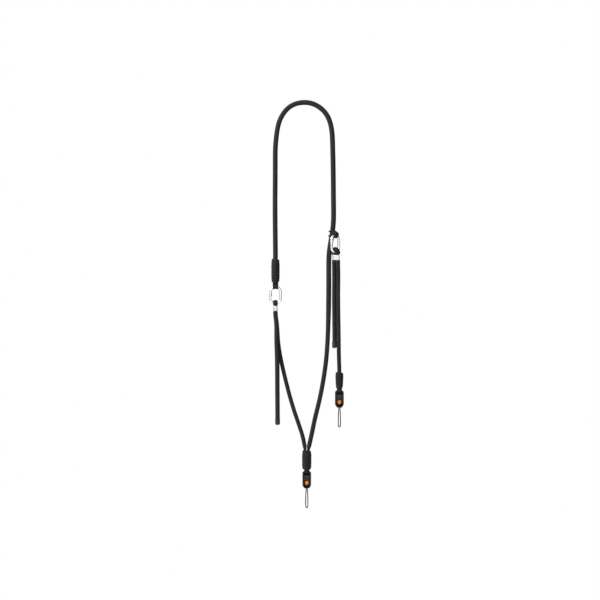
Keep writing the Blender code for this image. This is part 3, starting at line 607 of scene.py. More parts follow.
def braid_material(name, seam, strand, roughness, depth, yarns, sheen):
    """Braided black fibre: a two-over, two-under sheath with the yarns of each strand along it, and painted
    shade in its seams.
    """
    material, tree, shader = new_material(name)
    place = node(tree, "UVMap", uv_map="lay").outputs[0]
    lay = node(tree, "SeparateXYZ", {0: place})
    a = plus(tree, plus(tree, lay.outputs[0], lay.outputs[1]), 0.125)
    b = plus(tree, maths(tree, "SUBTRACT", lay.outputs[0], lay.outputs[1]), 0.125)
    i = maths(tree, "FLOOR", a)
    j = maths(tree, "FLOOR", b)
    a_over = maths(tree, "LESS_THAN", maths(tree, "FLOORED_MODULO", plus(tree, i, j), 4), 2)
    in_strand = chosen(tree, a_over, maths(tree, "FRACT", b), maths(tree, "FRACT", a))
    across = maths(tree, "SUBTRACT", in_strand, 0.5)
    a_way = maths(tree, "FLOORED_MODULO", plus(tree, b, i), 4)
    b_way = maths(tree, "FLOORED_MODULO", plus(tree, plus(tree, a, j), 2), 4)
    travelled = chosen(tree, a_over, b_way, a_way)
    off_middle = maths(tree, "ABSOLUTE", times(tree, across, 1.9))
    crown = rooted(tree, maths(tree, "SUBTRACT", 1, maths(tree, "POWER", off_middle, 2)))
    arch = rooted(tree, maths(tree, "SINE", times(tree, travelled, math.pi / 2)))
    rise = times(tree, crown, plus(tree, times(tree, arch, 0.6), 0.4))
    ahead = chosen(tree, a_over, a, b)
    which = chosen(tree, a_over, j, plus(tree, i, 37))
    thread = {0: times(tree, across, yarns), 1: ahead, 2: times(tree, which, 3.7)}
    fibre = noise(tree, node(tree, "CombineXYZ", thread).outputs[0], 1.6, 3.0, 0.6)
    ridges = maths(tree, "SINE", times(tree, across, yarns * 2 * math.pi))
    yarn = plus(tree, fibre, times(tree, ridges, 0.25))
    wear = object_noise(tree, 45, 4)
    # Painted shade: the tone darkens with the braid's height into the seams and where strands dip under,
    # mixed with the yarns' own tone and random wear
    tone = plus(tree, times(tree, rise, 0.55), times(tree, fibre, 0.45))
    tone = times(tree, tone, plus(tree, times(tree, wear, 0.7), 0.65))
    fill(tree, shader, {
        "Base Color": tinted(tree, tone, seam, strand),
        "Roughness": plus(tree, times(tree, fibre, 0.22), roughness - 0.11),
        "Normal": bumped(tree, plus(tree, rise, times(tree, yarn, 0.22)), 0.7, depth),
        "Sheen Weight": sheen,
        "Sheen Roughness": 0.5,
        "Specular IOR Level": 0.15,
    })
    return material


def metal_material(name, colour, roughness, spread, scratch):
    """Polished metal with a soft unevenness, fine scratches and painted shade where the mesh is marked as
    deep in a groove.
    """
    material, tree, shader = new_material(name)
    uneven = object_noise(tree, 260, 4)
    lines = object_noise(tree, 900, 2, (1, 1, 0.06))
    rough = plus(tree, times(tree, uneven, spread), roughness - spread / 2)
    rough = plus(tree, rough, times(tree, lines, spread * 0.5))
    dull = tuple(value * 0.9 for value in colour)
    fill(tree, shader, with_painted_shade(tree, tinted(tree, uneven, dull, colour), rough))
    scratched = bumped(tree, plus(tree, uneven, lines), scratch, 0.00004)
    fill(tree, shader, {"Normal": scratched, "Metallic": 1.0})
    return material


def plastic_material(name, low, high, roughness, grain, depth, coat=0.0):
    """Moulded plastic with a fine spark-eroded grain, slightly uneven tone and painted shade where the mesh
    is marked for it.
    """
    material, tree, shader = new_material(name)
    speckle = object_noise(tree, grain, 2)
    cloud = object_noise(tree, 180, 4)
    rough = plus(tree, times(tree, speckle, 0.16), roughness - 0.08)
    fill(tree, shader, with_painted_shade(tree, tinted(tree, cloud, low, high), rough))
    fill(tree, shader, {
        "Normal": bumped(tree, speckle, 0.5, depth),
        "Specular IOR Level": 0.28,
        "Coat Weight": coat,
        "Coat Roughness": 0.25,
    })
    return material


def floor_material():
    """Pale matt floor that looks as white as the backdrop, whatever the lamps are doing."""
    material, tree, shader = new_material("pale_floor")
    soft = object_noise(tree, 3, 2)
    pale = tinted(tree, soft, (0.80, 0.80, 0.80), (0.84, 0.84, 0.84))
    fill(tree, shader, {"Base Color": pale, "Roughness": 0.9})
    white = node(tree, "Emission", {"Color": (1, 1, 1, 1), "Strength": 1.0})
    path = node(tree, "LightPath")
    seen = plus(tree, path.outputs["Is Camera Ray"], path.outputs["Is Glossy Ray"])
    shown = node(tree, "MixShader", {0: seen, 1: shader.outputs[0], 2: white.outputs[0]}).outputs[0]
    fill(tree, tree.nodes["Material Output"], {"Surface": shown})
    return material


ROPE = braid_material("rope_braid", (0.003, 0.003, 0.0033), (0.036, 0.036, 0.038), 0.66, 0.00022, 4, 0.04)
CORD = braid_material("cord_braid", (0.003, 0.003, 0.0033), (0.034, 0.034, 0.036), 0.60, 0.00014, 3, 0.04)
LOOP = braid_material("loop_braid", (0.002, 0.002, 0.0022), (0.020, 0.020, 0.021), 0.62, 0.00008, 3, 0.03)
RING_METAL = metal_material("ring_chrome", (0.96, 0.96, 0.97), 0.08, 0.05, 0.02)
FERRULE_METAL = metal_material("ferrule_metal", (0.96, 0.96, 0.96), 0.14, 0.08, 0.05)
CAP = plastic_material("cap_sleeve", (0.022, 0.022, 0.023), (0.038, 0.038, 0.040), 0.50, 900, 0.00006)
MOULDED = plastic_material("moulded_black", (0.006, 0.006, 0.0065), (0.012, 0.012, 0.013), 0.42, 3200,
                           0.00003)
LATCH = plastic_material("moulded_latch", (0.024, 0.024, 0.025), (0.038, 0.038, 0.040), 0.36, 3200, 0.00003)
ORANGE = plastic_material("anchor_orange", (0.94, 0.26, 0.022), (1.0, 0.36, 0.034), 0.38, 2600, 0.00002, 0.15)


# Pieces

def dress(thing, material, slot, *stands_for, body=STRAP):
    """Put a piece in the scene with its finish and the body that it rides on, and hide the solids it stands
    for.
    """
    link(thing)
    thing.data.materials.clear()
    thing.data.materials.append(material)
    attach(thing, body)
    if stands_for:
        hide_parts(*stands_for)
    return thing


def with_share(route, share=1.0, across=1.0, along=1.0):
    return [(x, y, z, share, across, along) for x, y, z in route]


def bight(bar, bar_turn, legs_turn, drop, size, lean=(0, 0)):
    """Rows of a rope over a ring's bottom bar and down through a ferrule, front leg first.

    lean is how far the rope over the bar lies to one side of its ferrule.
    """
    full = SIDE_ROPE_D / 2
    half_width, half_thick, mouth = size
    held = FERRULE_ROPE_R / full
    over = RING_WIRE_R + BIGHT_SEAT + half_thick
    leg = FERRULE_ROPE_R + GAP / 2
    free = full + GAP / 2
    foot = drop + FERRULE_HEIGHT
    wide = half_width / full
    thin = half_thick / full

    def row(side, reach, fall, turn, across, along):
        heading = bar_turn * (1 - turn) + legs_turn * turn
        x = bar[0] + side * reach * math.cos(heading) + lean[0] * (1 - turn)
        y = bar[1] + side * reach * math.sin(heading) + lean[1] * (1 - turn)
        return (x, y, bar[2] - fall, 1.0, across, along)

    leg_rows = [
        (free, foot + 0.0046, 1.0, mouth, 0.98),
        (free, foot + 0.0024, 1.0, mouth, 0.97),
        (free * 0.93, foot + 0.0009, 1.0, mouth * 0.7 + held * 0.3, 0.88),
        (leg, foot - 0.0004, 1.0, held, held),
        (leg, foot - FERRULE_HEIGHT * 0.5, 1.0, held, held),
        (leg, drop + 0.0006, 1.0, held, held),
        (over * 0.50, drop * 0.74, 0.90, (wide + held) / 2, (thin + held) / 2),
        (over * 0.84, drop * 0.38, 0.40, wide, thin),
        (over, 0.0, 0.0, wide, thin),
    ]
    rows = [row(1, *values) for values in leg_rows]
    for angle in (30, 60, 90, 120, 150):
        tilt = math.radians(angle)
        rows.append(row(1, over * math.cos(tilt), -over * math.sin(tilt), 0.0, wide, thin))
    rows += [row(-1, *values) for values in reversed(leg_rows)]
    return rows


def main_rope():
    thin = MAIN_ROPE_END_R / (MAIN_ROPE_D / 2)
    rows = []
    for x, y, z in MAIN_ROUTE[:-3]:
        full = LEFT_FULLNESS if x < 0 else LOW_FULLNESS if z < LOW_FROM else RIGHT_FULLNESS
        rows += with_share([(x, y, z)], 1.0, 1.0, full)
    rows += with_share(MAIN_ROUTE[-3:], thin)
    radius = MAIN_ROPE_D / 2 + ROPE_SWELL
    rope, line = braided_tube("strap_rope", rows, radius, ROPE_STRANDS, ROPE_RELIEF, (0, 1, 0))
    dress(rope, ROPE, "rope", "main_rope")


def rope_with_tail(side, rise, crossing, tail, thin_rows, wide):
    thin = SIDE_ROPE_END_R / (SIDE_ROPE_D / 2)
    rows = with_share(rise[:thin_rows], thin) + with_share(rise[thin_rows:]) + crossing
    rows += with_share(tail, 1.0, TAIL_FULLNESS[side], 1.0)
    radius = SIDE_ROPE_D / 2 + ROPE_SWELL
    rope, line = braided_tube(f"{side}_hanging_rope", rows, radius, ROPE_STRANDS, ROPE_RELIEF, wide)
    dress(rope, ROPE, "rope", f"{side}_rope")
    cap = rope_cap(side, tail[-1])


def rope_cap(side, end):
    """A sealed sleeve on a rope's tail, open above, with a rolled lip and a rounded foot."""
    bore = SIDE_ROPE_D / 2 + GAP
    bottom = -GAP - TAIL_CAP_FLOOR
    top = bottom + TAIL_CAP_HEIGHT
    lip = top - TAIL_CAP_LIP
    corner = (TAIL_CAP_R - TAIL_CAP_CORNER[0], bottom + TAIL_CAP_CORNER[1])
    straight = lip - corner[1] - 0.0002
    profile = [(0, -GAP), (bore * 0.6, -GAP), (bore, -GAP), (bore, lip), (bore + 0.0001, top - 0.0001)]
    profile += [(TAIL_CAP_R - 0.0004, top), (TAIL_CAP_R - 0.0001, top - 0.0002), (TAIL_CAP_R, lip)]
    for k in range(1, 12):
        sway = 0.00007 * math.sin(k * 2.1)
        profile.append((TAIL_CAP_R - 0.00008 + sway, lip - straight * k / 11))
    profile += arc(corner, TAIL_CAP_CORNER, 0, -90, 9)[1:]
    profile += [(TAIL_CAP_R * 0.2, bottom - 0.0001), (0, bottom - 0.0001)]
    cap = finished(turned(f"{side}_tail_cap", profile), place=Matrix.Translation(end))
    return dress(cap, CAP, "rope_cap", f"{side}_rope_end")


def wound_cord(side, place):
    """A whipping as one length of cord wound down a rope, with both ends tucked under."""
    top_r, bottom_r, height, turns, depth_share = WHIPPINGS[side]
    cord_r = height / turns / 2 * CORD_OVERLAP
    rows = []
    per_turn = 14
    laps = turns - 1 + 0.35
    total = round(laps * per_turn)
    for step in range(-4, total + 5):
        t = min(1.0, max(0.0, step / total))
        angle = math.pi + step / per_turn * 2 * math.pi
        tuck = max(0, -step, step - total) / 4
        radius = top_r * (1 - t) + bottom_r * t - cord_r - tuck ** 1.5 * cord_r * 1.6
        radius -= WHIP_BARREL * (2 * t - 1) ** 4
        z = height - cord_r - (height - 2 * cord_r) * t
        z += (1 if step > total else -1) * tuck * cord_r * 0.5
        rows.append((radius * math.cos(angle), radius * math.sin(angle) * depth_share, z))
    rows = [tuple(place @ Vector(row)) for row in rows]
    cord = braided_tube(f"{side}_wound_cord", rows, cord_r, CORD_STRANDS, CORD_RELIEF)[0]
    dress(cord, CORD, "whipping_cord", f"{side}_whipping")


def eye(side, bar, bar_r, size):
    """A flattened rope that comes down out of a whipping, goes round a bar and back up.

    It gives the place where its whipping starts.
    """
    thick, half_width, top_half_width, neck, bar_bend = size
    radius = SIDE_ROPE_D / 2
    around = bar_r + GAP * 0.4 + thick / 2
    top_y = (EYE_SLIT + thick) / 2
    thin = thick / 2 / radius
    low = around * 0.3
    leg = [(top_y * 1.1, neck), (top_y, neck + EYE_RISE / 2), (top_y, neck + EYE_RISE)]
    rows = []
    for y, z in [(-y, z) for y, z in reversed(leg)] + arc((0, 0), (around, around), -215, 35, 10) + leg:
        share = min(1.0, max(0.0, (z - low) / (neck - low)))
        half = half_width * (1 - share) + top_half_width * share
        rows.append((0, y, z, 1.0, half / radius, thin))

    def settle(skin):
        """Let the edges of the flat rope droop with the bar's curve, and carry the skin to its place."""
        x = skin[..., 0]
        z = skin[..., 2]
        if bar_bend:
            reach = np.minimum(np.abs(x), bar_bend * 0.95)
            share = np.clip((z - low) / (neck - low), 0, 1)
            z = z - (bar_bend - np.sqrt(bar_bend ** 2 - reach ** 2)) * (1 - share)
        flat = np.stack([x, skin[..., 1], z, np.ones_like(x)], axis=-1)
        return (flat @ np.array(bar.transposed()))[..., :3]

    relief = ROPE_RELIEF * 1.2
    rope = braided_tube(f"{side}_rope_eye", rows, radius, ROPE_STRANDS, relief, (1, 0, 0), bend=settle)[0]
    dress(rope, ROPE, "rope", f"{side}_eye")
    return bar @ raised(neck)


def ferrule(side, place):
    """A pressed oval sleeve with rolled lips and a shallow crimp on its two flat sides."""
    half_gap = FERRULE_ROPE_R + GAP / 2
    bore = FERRULE_ROPE_R + GAP * 1.4
    wall = FERRULE_WALL
    lip_x = bore + wall / 2 + FERRULE_FLARE * 0.8
    lip = (wall / 2, wall / 2)
    profile = arc((lip_x, -wall / 2), lip, 180, 0, 8)
    for share in (0.10, 0.18, 0.3, 0.42, 0.5, 0.58, 0.7, 0.82, 0.90):
        near_lip = max(0.0, 1 - min(share, 1 - share) / 0.16)
        profile.append((bore + wall + FERRULE_FLARE * 0.7 * near_lip ** 2, -FERRULE_HEIGHT * share))
    profile += arc((lip_x, wall / 2 - FERRULE_HEIGHT), lip, 0, -180, 8)
    profile += [(bore, -FERRULE_HEIGHT * share) for share in (0.85, 0.5, 0.15)]
    rings = []
    for radius, z in profile:
        press = CRIMP_DEPTH * math.exp(-((z + FERRULE_HEIGHT / 2) / CRIMP_SPREAD) ** 2)
        right = arc((half_gap, 0), (radius, radius), -90, 90, 20)
        left = arc((-half_gap, 0), (radius, radius), 90, 270, 20)
        ring = []
        for x, y in right + left:
            if radius > bore + wall / 2 and abs(x) < half_gap:
                y *= 1 - press / bore
            ring.append((x, y, z))
        rings.append(ring)
    sleeve = finished(loft(f"{side}_sleeve", rings, closed=True), place=place, smooth=50)
    dress(sleeve, FERRULE_METAL, "ferrule_metal", f"{side}_ferrule")


def ring_wire(side, ring):
    """The oval wire, from the slanted nose end over the top and round to the hinge end."""
    across = RING_ARC_R
    high = RING_STRAIGHT
    path = [(-across, high), (-across, high + 0.0001)] + arc((0, high), (across, across), 180, 0, 40)[1:]
    path += arc((0, -high), (across, across), 0, -180, 40)
    circle = arc((0, 0), (RING_WIRE_R, RING_WIRE_R), 0, 360, 36)[:-1]
    rings = []
    for k, (x, z) in enumerate(path):
        before = Vector(path[max(k - 1, 0)])
        after = Vector(path[min(k + 1, len(path) - 1)])
        along = (after - before).normalized()
        out = Vector((-along[1], along[0]))
        ring_points = []
        for reach, deep in circle:
            point = Vector((x + out[0] * reach, deep, z + out[1] * reach))
            if k < 2:
                point.z = high + (point.x + across) * math.tan(GATE_SLANT) + k * 0.0001
            ring_points.append(point)
        rings.append(ring_points)
    wire = edged(loft(f"{side}_ring_wire", rings), 0.0003, 3, 50)
    wire = finished(wire, place=ring)
    dress(wire, RING_METAL, "ring_metal", f"{side}_ring")

    root = high + RING_WIRE_R
    outline = arc((-across, PIVOT_Z), (GATE_TONGUE_R, GATE_TONGUE_R), 0, 180, 20)
    outline += [(-across - GATE_TONGUE_R, -root), (GATE_TONGUE_R - across, -root)]
    tongue = edged(plate(f"{side}_ring_tongue", outline, -GATE_TONGUE / 2, GATE_TONGUE / 2), 0.00015)
    dress(finished(tongue, place=ring), RING_METAL, "ring_metal")


def gate(side, ring):
    """The sprung gate, a round bar with a slanted nose, a forked heel and a slot along its inner side."""
    hinge = ring @ Matrix.Translation((-RING_ARC_R, 0, PIVOT_Z))
    length = RING_STRAIGHT * 2
    top = length - GATE_PIVOT_RISE
    heel = GATE_PIVOT_RISE - GAP
    far = RING_WIDTH
    bar = rod(f"{side}_ring_gate", GATE_R, length * 1.4, "Z", (0, 0, length * 0.5))
    slant = raised(top - GAP) @ Matrix.Rotation(-GATE_SLANT, 4, "Y")
    corner = raised(-heel) @ Matrix.Rotation(-GATE_HEEL, 4, "Y")
    slot_half = GATE_TONGUE / 2 + GAP
    cutters = [
        box("nose_cut", (-far, -far, 0), (far, far, far), slant),
        box("heel_cut", (-far, -far, -far), (far, far, -heel)),
        box("corner_cut", (0, -far, -far), (far, far, 0), corner),
        box("fork_cut", (-far, -slot_half, -far), (far, slot_half, GATE_TONGUE_R + GAP)),
        rod("bore_cut", GATE_PIN_R + GAP * 0.4, far, "Y", sides=24),
        box("channel_cut", (GATE_CHANNEL_FLOOR, -GATE_CHANNEL_HALF, GATE_CHANNEL_ENDS[0]),
            (far, GATE_CHANNEL_HALF, top - GATE_CHANNEL_ENDS[1]), GATE_CHANNEL_TURN),
    ]
    combined(bar, "DIFFERENCE", *cutters)
    edged(bar, FINE_EDGE, 2, 40)
    # Painted shade: the groove along the gate's inner side is blackened by depth
    bar = marked(finished(bar, cutters, hinge), hinge, gate_channel_shade)
    dress(bar, RING_METAL, "ring_metal", f"{side}_gate", body=f"{side}_gate")
    half = GATE_R * 0.97
    upper = [(0, half), (GATE_PIN_R * 0.7, half), (GATE_PIN_R, half - 0.0002)]
    profile = upper + [(radius, -z) for radius, z in reversed(upper)]
    pin = turned(f"{side}_hinge_pin", profile, 24)
    upright = hinge @ Matrix.Rotation(math.radians(90), 4, "X")
    dress(finished(pin, place=upright), RING_METAL, "ring_metal", f"{side}_gate_pin")


def belt(centre, radius, knob, knob_radius):
    """A closed loop drawn tight round two circles that lie level, each at its own height."""
    across = Vector((knob[0] - centre[0], knob[1] - centre[1]))
    lean = math.degrees(math.acos((radius - knob_radius) / across.length))
    heading = math.degrees(math.atan2(across[1], across[0]))
    far = arc(centre, (radius, radius), heading + lean, heading + 360 - lean, 11)
    near = arc(knob, (knob_radius, knob_radius), heading - lean, heading + lean, 3)
    return [(x, y, centre[2]) for x, y in far] + [(x, y, knob[2]) for x, y in near]


def hitch():
    """Cord wound four times over the right ring's top bar and twice round the main rope."""
    around_bar = RING_WIRE_R + GAP * 0.8 + HITCH_CORD_R
    around_rope = MAIN_ROPE_D / 2 + GAP * 1.5 + HITCH_CORD_R
    lift = HITCH_SLACK / 2
    loops = []

    def outward(slide):
        lean = math.radians(slide)
        return Vector((math.sin(lean), 0, math.cos(lean)))

    top = Vector((0, 0, RING_STRAIGHT))
    for slide in HITCH_SLIDES:
        out = outward(slide)
        middle = top + out * (RING_ARC_R + lift)
        oval = arc((0, 0), (around_bar, around_bar + lift), 0, 360, 16)[:-1]
        loops.append([tuple(RIGHT_RING @ (middle + out * up + Vector((0, y, 0)))) for y, up in oval])
    knob_top = top + outward(HITCH_SLIDES[1]) * (RING_ARC_R + around_bar + HITCH_SLACK)
    loops.append(belt(HITCH_UPPER_TURN_AT, around_rope, RIGHT_RING @ knob_top, HITCH_KNOB_R))
    knob_back = Vector((0, around_bar + HITCH_CORD_R, 0)) + top + outward(HITCH_SLIDES[1] + 6) * RING_ARC_R
    loops.append(belt(HITCH_LOWER_TURN_AT, around_rope, RIGHT_RING @ knob_back, HITCH_KNOB_R))
    for k, points in enumerate(loops):
        name = f"right_hitch_turn_{k + 1}"
        turn = braided_tube(name, points, HITCH_CORD_R, THIN_STRANDS, CORD_RELIEF, closed=True)[0]
        dress(turn, CORD, "whipping_cord", "right_hitch")


def housing_outline():
    """The connector seen from the front: round shoulders, and a foot cut in by two slightly full slants."""
    half = HOUSING_WIDTH / 2
    top_r = HOUSING_TOP_R
    foot_z = HOUSING_FOOT_RISE - HOUSING_HEIGHT
    right = arc((half - top_r, -top_r), (top_r, top_r), 90, 0, 8)
    steps = 14
    round_foot = arc((half - HOUSING_FOOT_IN, foot_z), (HOUSING_FOOT_IN, HOUSING_FOOT_RISE), 0, -90, steps)
    for k, (x, z) in enumerate(round_foot):
        slant_x = half - HOUSING_FOOT_IN * k / steps
        slant_z = foot_z - HOUSING_FOOT_RISE * k / steps
        right.append((slant_x + (x - slant_x) * FOOT_ROUNDNESS, slant_z + (z - slant_z) * FOOT_ROUNDNESS))
    return right + [(-x, z) for x, z in reversed(right)]


def anchor_outline():
    """The teardrop of the anchor disc, with its point cut flat."""
    tip = -ANCHOR_DROP - ANCHOR_TIP_DROP
    half_tip = ANCHOR_TIP_WIDTH / 2
    round_end = arc((0, -ANCHOR_DROP), (ANCHOR_R, ANCHOR_R), -38, 218, 40)
    right = [(half_tip, tip)]
    for k in range(8):
        share = k / 8
        x = (half_tip + 0.0003) * (1 - share) + round_end[0][0] * share
        right.append((x, (tip + 0.0002) * (1 - share) + round_end[0][1] * share))
    return right + round_end + [(-x, z) for x, z in reversed(right)]


def recess_outline():
    """The slot for the anchor disc: round at the top and open at the housing's foot, where it narrows."""
    radius = ANCHOR_R + RECESS_MARGIN
    mouth = RECESS_MOUTH / 2
    below = HOUSING_HEIGHT + HOUSING_EDGE * 2
    top = arc((0, -ANCHOR_DROP), (radius, radius), 0, 180, 32)
    left = [(-radius, -RECESS_FOOT_DROP), (-mouth, -HOUSING_HEIGHT), (-mouth, -below)]
    return top + left + [(-x, z) for x, z in reversed(left)]


def anchor_disc(name, front, back):
    """The anchor disc with a rounded rim and a low dome on its face."""
    outline = anchor_outline()
    layers = [(0.94, back), (1.0, back - 0.0004)]
    layers += [(share, front + y) for share, y in arc((0, ANCHOR_DOME), (1, -ANCHOR_DOME), 0, 80, 10)]
    rings = []
    for share, y in layers:
        rings.append([(x * share, y, (z + ANCHOR_DROP) * share - ANCHOR_DROP) for x, z in outline])
    return loft(name, rings)


def marked(thing, place, depth_at):
    """Mark how deep each point lies in a slot or window, for the finish to paint shade there."""
    back = place.inverted()
    values = [min(1.0, max(0.0, depth_at(back @ vertex.co))) for vertex in thing.data.vertices]
    layer = thing.data.attributes.new("painted_shade", "FLOAT", "POINT")
    layer.data.foreach_set("value", values)
    return thing


def shade(depth, limits):
    """0 down to where a slot's shade starts, 1 where it is full."""
    start, span = limits
    return (depth - start) / span


# Painted shade in the cuts of the housing's front within the window's width, by depth behind the front face
def housing_window_shade(point):
    x, y, z = point
    inside = abs(x) < WINDOW_WIDTH / 2 + 0.0001 and y < HOUSING_DEPTH / 2 - 0.0006 and z > -HOUSING_HEIGHT
    return shade(y + HOUSING_DEPTH / 2, WINDOW_SHADE) if inside else 0.0


def gate_channel_shade(point):
    """Painted shade in the groove along a gate's inner side, by its depth."""
    turned_back = GATE_CHANNEL_TURN.inverted() @ point
    inside = turned_back[0] > 0 and abs(turned_back[1]) < GATE_CHANNEL_HALF + 0.00001
    return shade(GATE_R - turned_back.xy.length, CHANNEL_SHADE) if inside else 0.0


def arched(half, top, bottom, points=13):
    """A flat outline with straight sides whose top edge rises to its middle."""
    shares = [-1 + 2 * k / (points - 1) for k in range(points)]
    return [(x * half, top + WINDOW_ARCH * (1 - x * x)) for x in shares] + [(half, bottom), (-half, bottom)]


def connector(side, at):
    """A quick-release connector: moulded housing, release plate, anchor disc and thin loop."""
    place = Matrix.Translation(at)
    front = -HOUSING_DEPTH / 2
    deep = front + ANCHOR_SUNK + ANCHOR_THICK + GAP
    ahead = front - HOUSING_EDGE * 2
    latch_foot = LATCH_TOP_DROP + LATCH_HEIGHT
    latch_front = front - LATCH_PROUD
    tip = -ANCHOR_DROP - ANCHOR_TIP_DROP

    shell = edged(plate(f"{side}_connector_shell", housing_outline(), front, -front), HOUSING_EDGE, 5, 60)
    pocket = arched(LATCH_WIDTH / 2 + GAP, GAP - LATCH_TOP_DROP, -latch_foot - GAP)
    cutters = [
        plate("window_cut", arched(WINDOW_WIDTH / 2, -WINDOW_DROP, HOUSING_EDGE * 2), ahead, WINDOW_DEEP),
        plate("pocket_cut", pocket, ahead, latch_front + LATCH_THICK + GAP),
        plate("recess_cut", recess_outline(), ahead, deep),
    ]
    combined(shell, "DIFFERENCE", *cutters)
    crossbar = rod("crossbar", CROSSBAR_R, WINDOW_WIDTH + HOUSING_EDGE * 2, "X", (0, 0, -CROSSBAR_DROP), 32)
    combined(shell, "UNION", crossbar)
    edged(shell, FINE_EDGE, 2, 50)
    # Painted shade: faces deep behind the front, within the window's width, are blackened
    shell = marked(finished(shell, cutters + [crossbar], place), place, housing_window_shade)
    dress(shell, MOULDED, "moulded_black", f"{side}_housing")

    shape = arched(LATCH_WIDTH / 2, -LATCH_TOP_DROP, -latch_foot)
    latch = plate(f"{side}_release_plate", shape, latch_front, latch_front + LATCH_THICK)
    groove_at = (0, latch_front - 0.00005, GROOVE_RISE - latch_foot)
    groove = rod("groove", GROOVE_R, LATCH_WIDTH * 0.84, "X", groove_at, 16)
    combined(edged(latch, LATCH_EDGE), "DIFFERENCE", groove)
    dress(finished(latch, [groove], place), LATCH, "moulded_black", f"{side}_latch")

    anchor_front = front + ANCHOR_SUNK
    disc = anchor_disc(f"{side}_anchor_disc", anchor_front, anchor_front + ANCHOR_THICK)
    disc = finished(disc, place=place)
    # Painted shade: the anchor disc darkens to black towards its lower tip
    marked(disc, place, lambda point: shade(-point[2] - ANCHOR_DROP, ANCHOR_SHADE))
    dress(disc, ORANGE, "anchor_orange", f"{side}_anchor")

    cord_y = anchor_front + ANCHOR_THICK / 2
    close = LOOP_CORD_D / 2 + GAP / 2
    wide = LOOP_HALF_WIDTH
    mouth = -HOUSING_HEIGHT
    fall = LOOP_DROP - HOUSING_HEIGHT
    strand = [
        (close, tip - GAP),
        (close, mouth),
        (close + (wide - close) * 0.45, mouth - fall * 0.20),
        (close + (wide - close) * 0.85, mouth - fall * 0.48),
        (wide, mouth - fall * 0.72),
        (wide * 0.96, mouth - fall * 0.87),
        (wide * 0.66, mouth - fall * 0.965),
        (0, mouth - fall),
    ]
    mirrored = [(-x, z) for x, z in reversed(strand[:-1])]
    rows = [tuple(place @ Vector((x, cord_y, z))) for x, z in strand + mirrored]
    loop, line = braided_tube(f"{side}_camera_loop", rows, LOOP_CORD_R, THIN_STRANDS, LOOP_RELIEF)
    dress(loop, LOOP, "loop_cord", f"{side}_cord")


# Stage, light and camera

def add_stage():
    bm = bmesh.new()
    bmesh.ops.create_circle(bm, cap_ends=True, segments=64, radius=FLOOR_R)
    floor = mesh_object("floor", bm)
    floor.data.transform(raised(FLOOR_Z))
    link(floor)
    floor.data.materials.append(floor_material())


def area_light(name, place, size, power):
    light = bpy.data.lights.new(name, "AREA")
    light.shape = "RECTANGLE"
    light.size, light.size_y = size
    light.energy = power
    lamp = bpy.data.objects.new(name, light)
    lamp.location = place
    lamp.rotation_euler = (Vector(LIT_POINT) - Vector(place)).to_track_quat("-Z", "Y").to_euler()
    link(lamp)


def add_light():
    """White behind the strap; round it a soft tent, bright in front and behind, dim at the sides.

    Glossy rays see the tent's bright front, soft bands and back, which draws the metal. What lights the
    cords is the same tent dimmed towards the right, as the photograph's cords are.
    """
    world = bpy.data.worlds.new("studio")
    bpy.context.scene.world = world
    world.use_nodes = True
    tree = world.node_tree
    way = node(tree, "SeparateXYZ", {0: node(tree, "TexCoord").outputs["Generated"]})

    def slope(value, start, end, low, high):
        return node(tree, "MapRange", {0: value, 1: start, 2: end, 3: low, 4: high}).outputs[0]

    height = slope(way.outputs[2], -0.9, 0.2, 0.5, 1.0)
    side = slope(way.outputs[0], -0.4, 0.4, *TENT_SIDES)
    around = chosen(tree, slope(way.outputs[1], -0.50, -0.20, 1.0, 0.0), side, TENT_FRONT)
    behind = slope(way.outputs[1], 0.86, 0.95, 0.0, TENT_BACK)
    softened = slope(way.outputs[0], -0.7, 0.6, TENT_LEFT, TENT_RIGHT)

    def white(strength):
        return node(tree, "Background", {"Color": (1, 1, 1, 1), "Strength": strength}).outputs[0]

    mirrored = white(times(tree, plus(tree, around, behind), height))
    soft = white(times(tree, softened, height))
    path = node(tree, "LightPath").outputs
    tent = node(tree, "MixShader", {0: path["Is Glossy Ray"], 1: soft, 2: mirrored}).outputs[0]
    shown = node(tree, "MixShader", {0: path["Is Camera Ray"], 1: tent, 2: white(1.0)}).outputs[0]
    fill(tree, tree.nodes["World Output"], {"Surface": shown})
    area_light("key", *KEY)
    area_light("fill", *FILL)


def add_camera():
    camera = bpy.data.cameras.new("camera")
    camera.lens = LENS
    camera.sensor_width = SENSOR
    camera.clip_start = 0.05
    camera.clip_end = 100
    eye_point = bpy.data.objects.new("camera", camera)
    distance = VIEW_WIDTH * LENS / SENSOR
    eye_point.location = (VIEW_CENTRE[0], -distance, VIEW_CENTRE[1])
    eye_point.rotation_euler = (math.radians(90), 0, 0)
    link(eye_point)
    bpy.context.scene.camera = eye_point


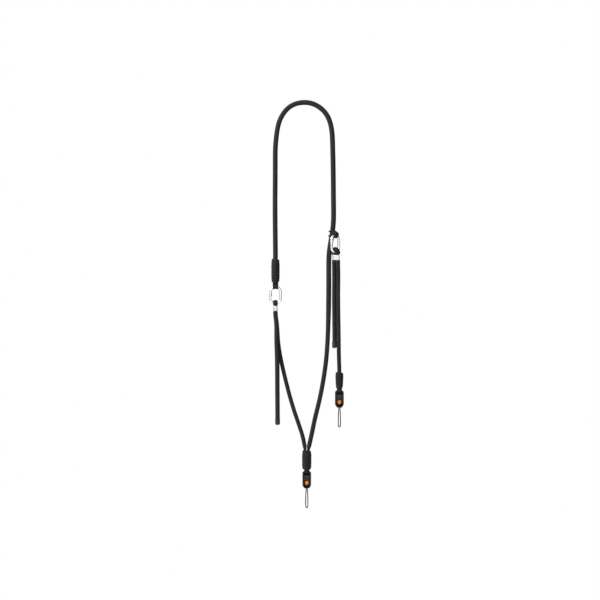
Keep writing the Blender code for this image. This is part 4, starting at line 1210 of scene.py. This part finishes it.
def build():
    add_camera()
    add_light()
    add_stage()
    bpy.context.scene.view_settings.view_transform = "Standard"

    main_rope()
    left_bar = (LEFT_RING @ raised(-BAR_HEIGHT)).translation
    over_left = LEFT_RING_TURN - math.pi / 2
    left_bight = bight(left_bar, over_left, LEFT_LEGS_TURN, LEFT_FERRULE_DROP, LEFT_BIGHT)
    rope_with_tail("left", LEFT_RISE_ROUTE, list(reversed(left_bight)), LEFT_TAIL_ROUTE, 3, (1, 0, 0))
    fall = RING_STRAIGHT + RING_ARC_R * math.cos(RIGHT_BIGHT_SLIDE)
    right_bar = RIGHT_RING @ Vector((RING_ARC_R * math.sin(RIGHT_BIGHT_SLIDE), 0, -fall))
    over_right = RIGHT_RING_TURN - math.pi / 2
    along_bar = (math.cos(RIGHT_RING_TURN), math.sin(RIGHT_RING_TURN), 0)
    lean = (RIGHT_BIGHT_LEAN * along_bar[0], RIGHT_BIGHT_LEAN * along_bar[1])
    right_bight = bight(right_bar, over_right, RIGHT_LEGS_TURN, RIGHT_FERRULE_DROP, RIGHT_BIGHT, lean)
    rope_with_tail("right", RIGHT_RISE_ROUTE, right_bight, RIGHT_TAIL_ROUTE, 0, along_bar)

    for side, bar_point, legs_turn, drop in (
        ("left", left_bar, LEFT_LEGS_TURN, LEFT_FERRULE_DROP),
        ("right", right_bar, RIGHT_LEGS_TURN, RIGHT_FERRULE_DROP),
    ):
        ferrule(side, Matrix.Translation(bar_point) @ raised(-drop) @ Matrix.Rotation(legs_turn, 4, "Z"))
    for side, ring in (("left", LEFT_RING), ("right", RIGHT_RING)):
        ring_wire(side, ring)
        gate(side, ring)
    hitch()

    wound_cord("left", eye("left", LEFT_RING @ raised(BAR_HEIGHT), RING_WIRE_R, RING_EYE))
    for side, at in (("side", SIDE_CONNECTOR_AT), ("lower", LOWER_CONNECTOR_AT)):
        connector(side, at)
        wound_cord(side, eye(side, Matrix.Translation(at) @ raised(-CROSSBAR_DROP), CROSSBAR_R, LINK_EYE))


build()
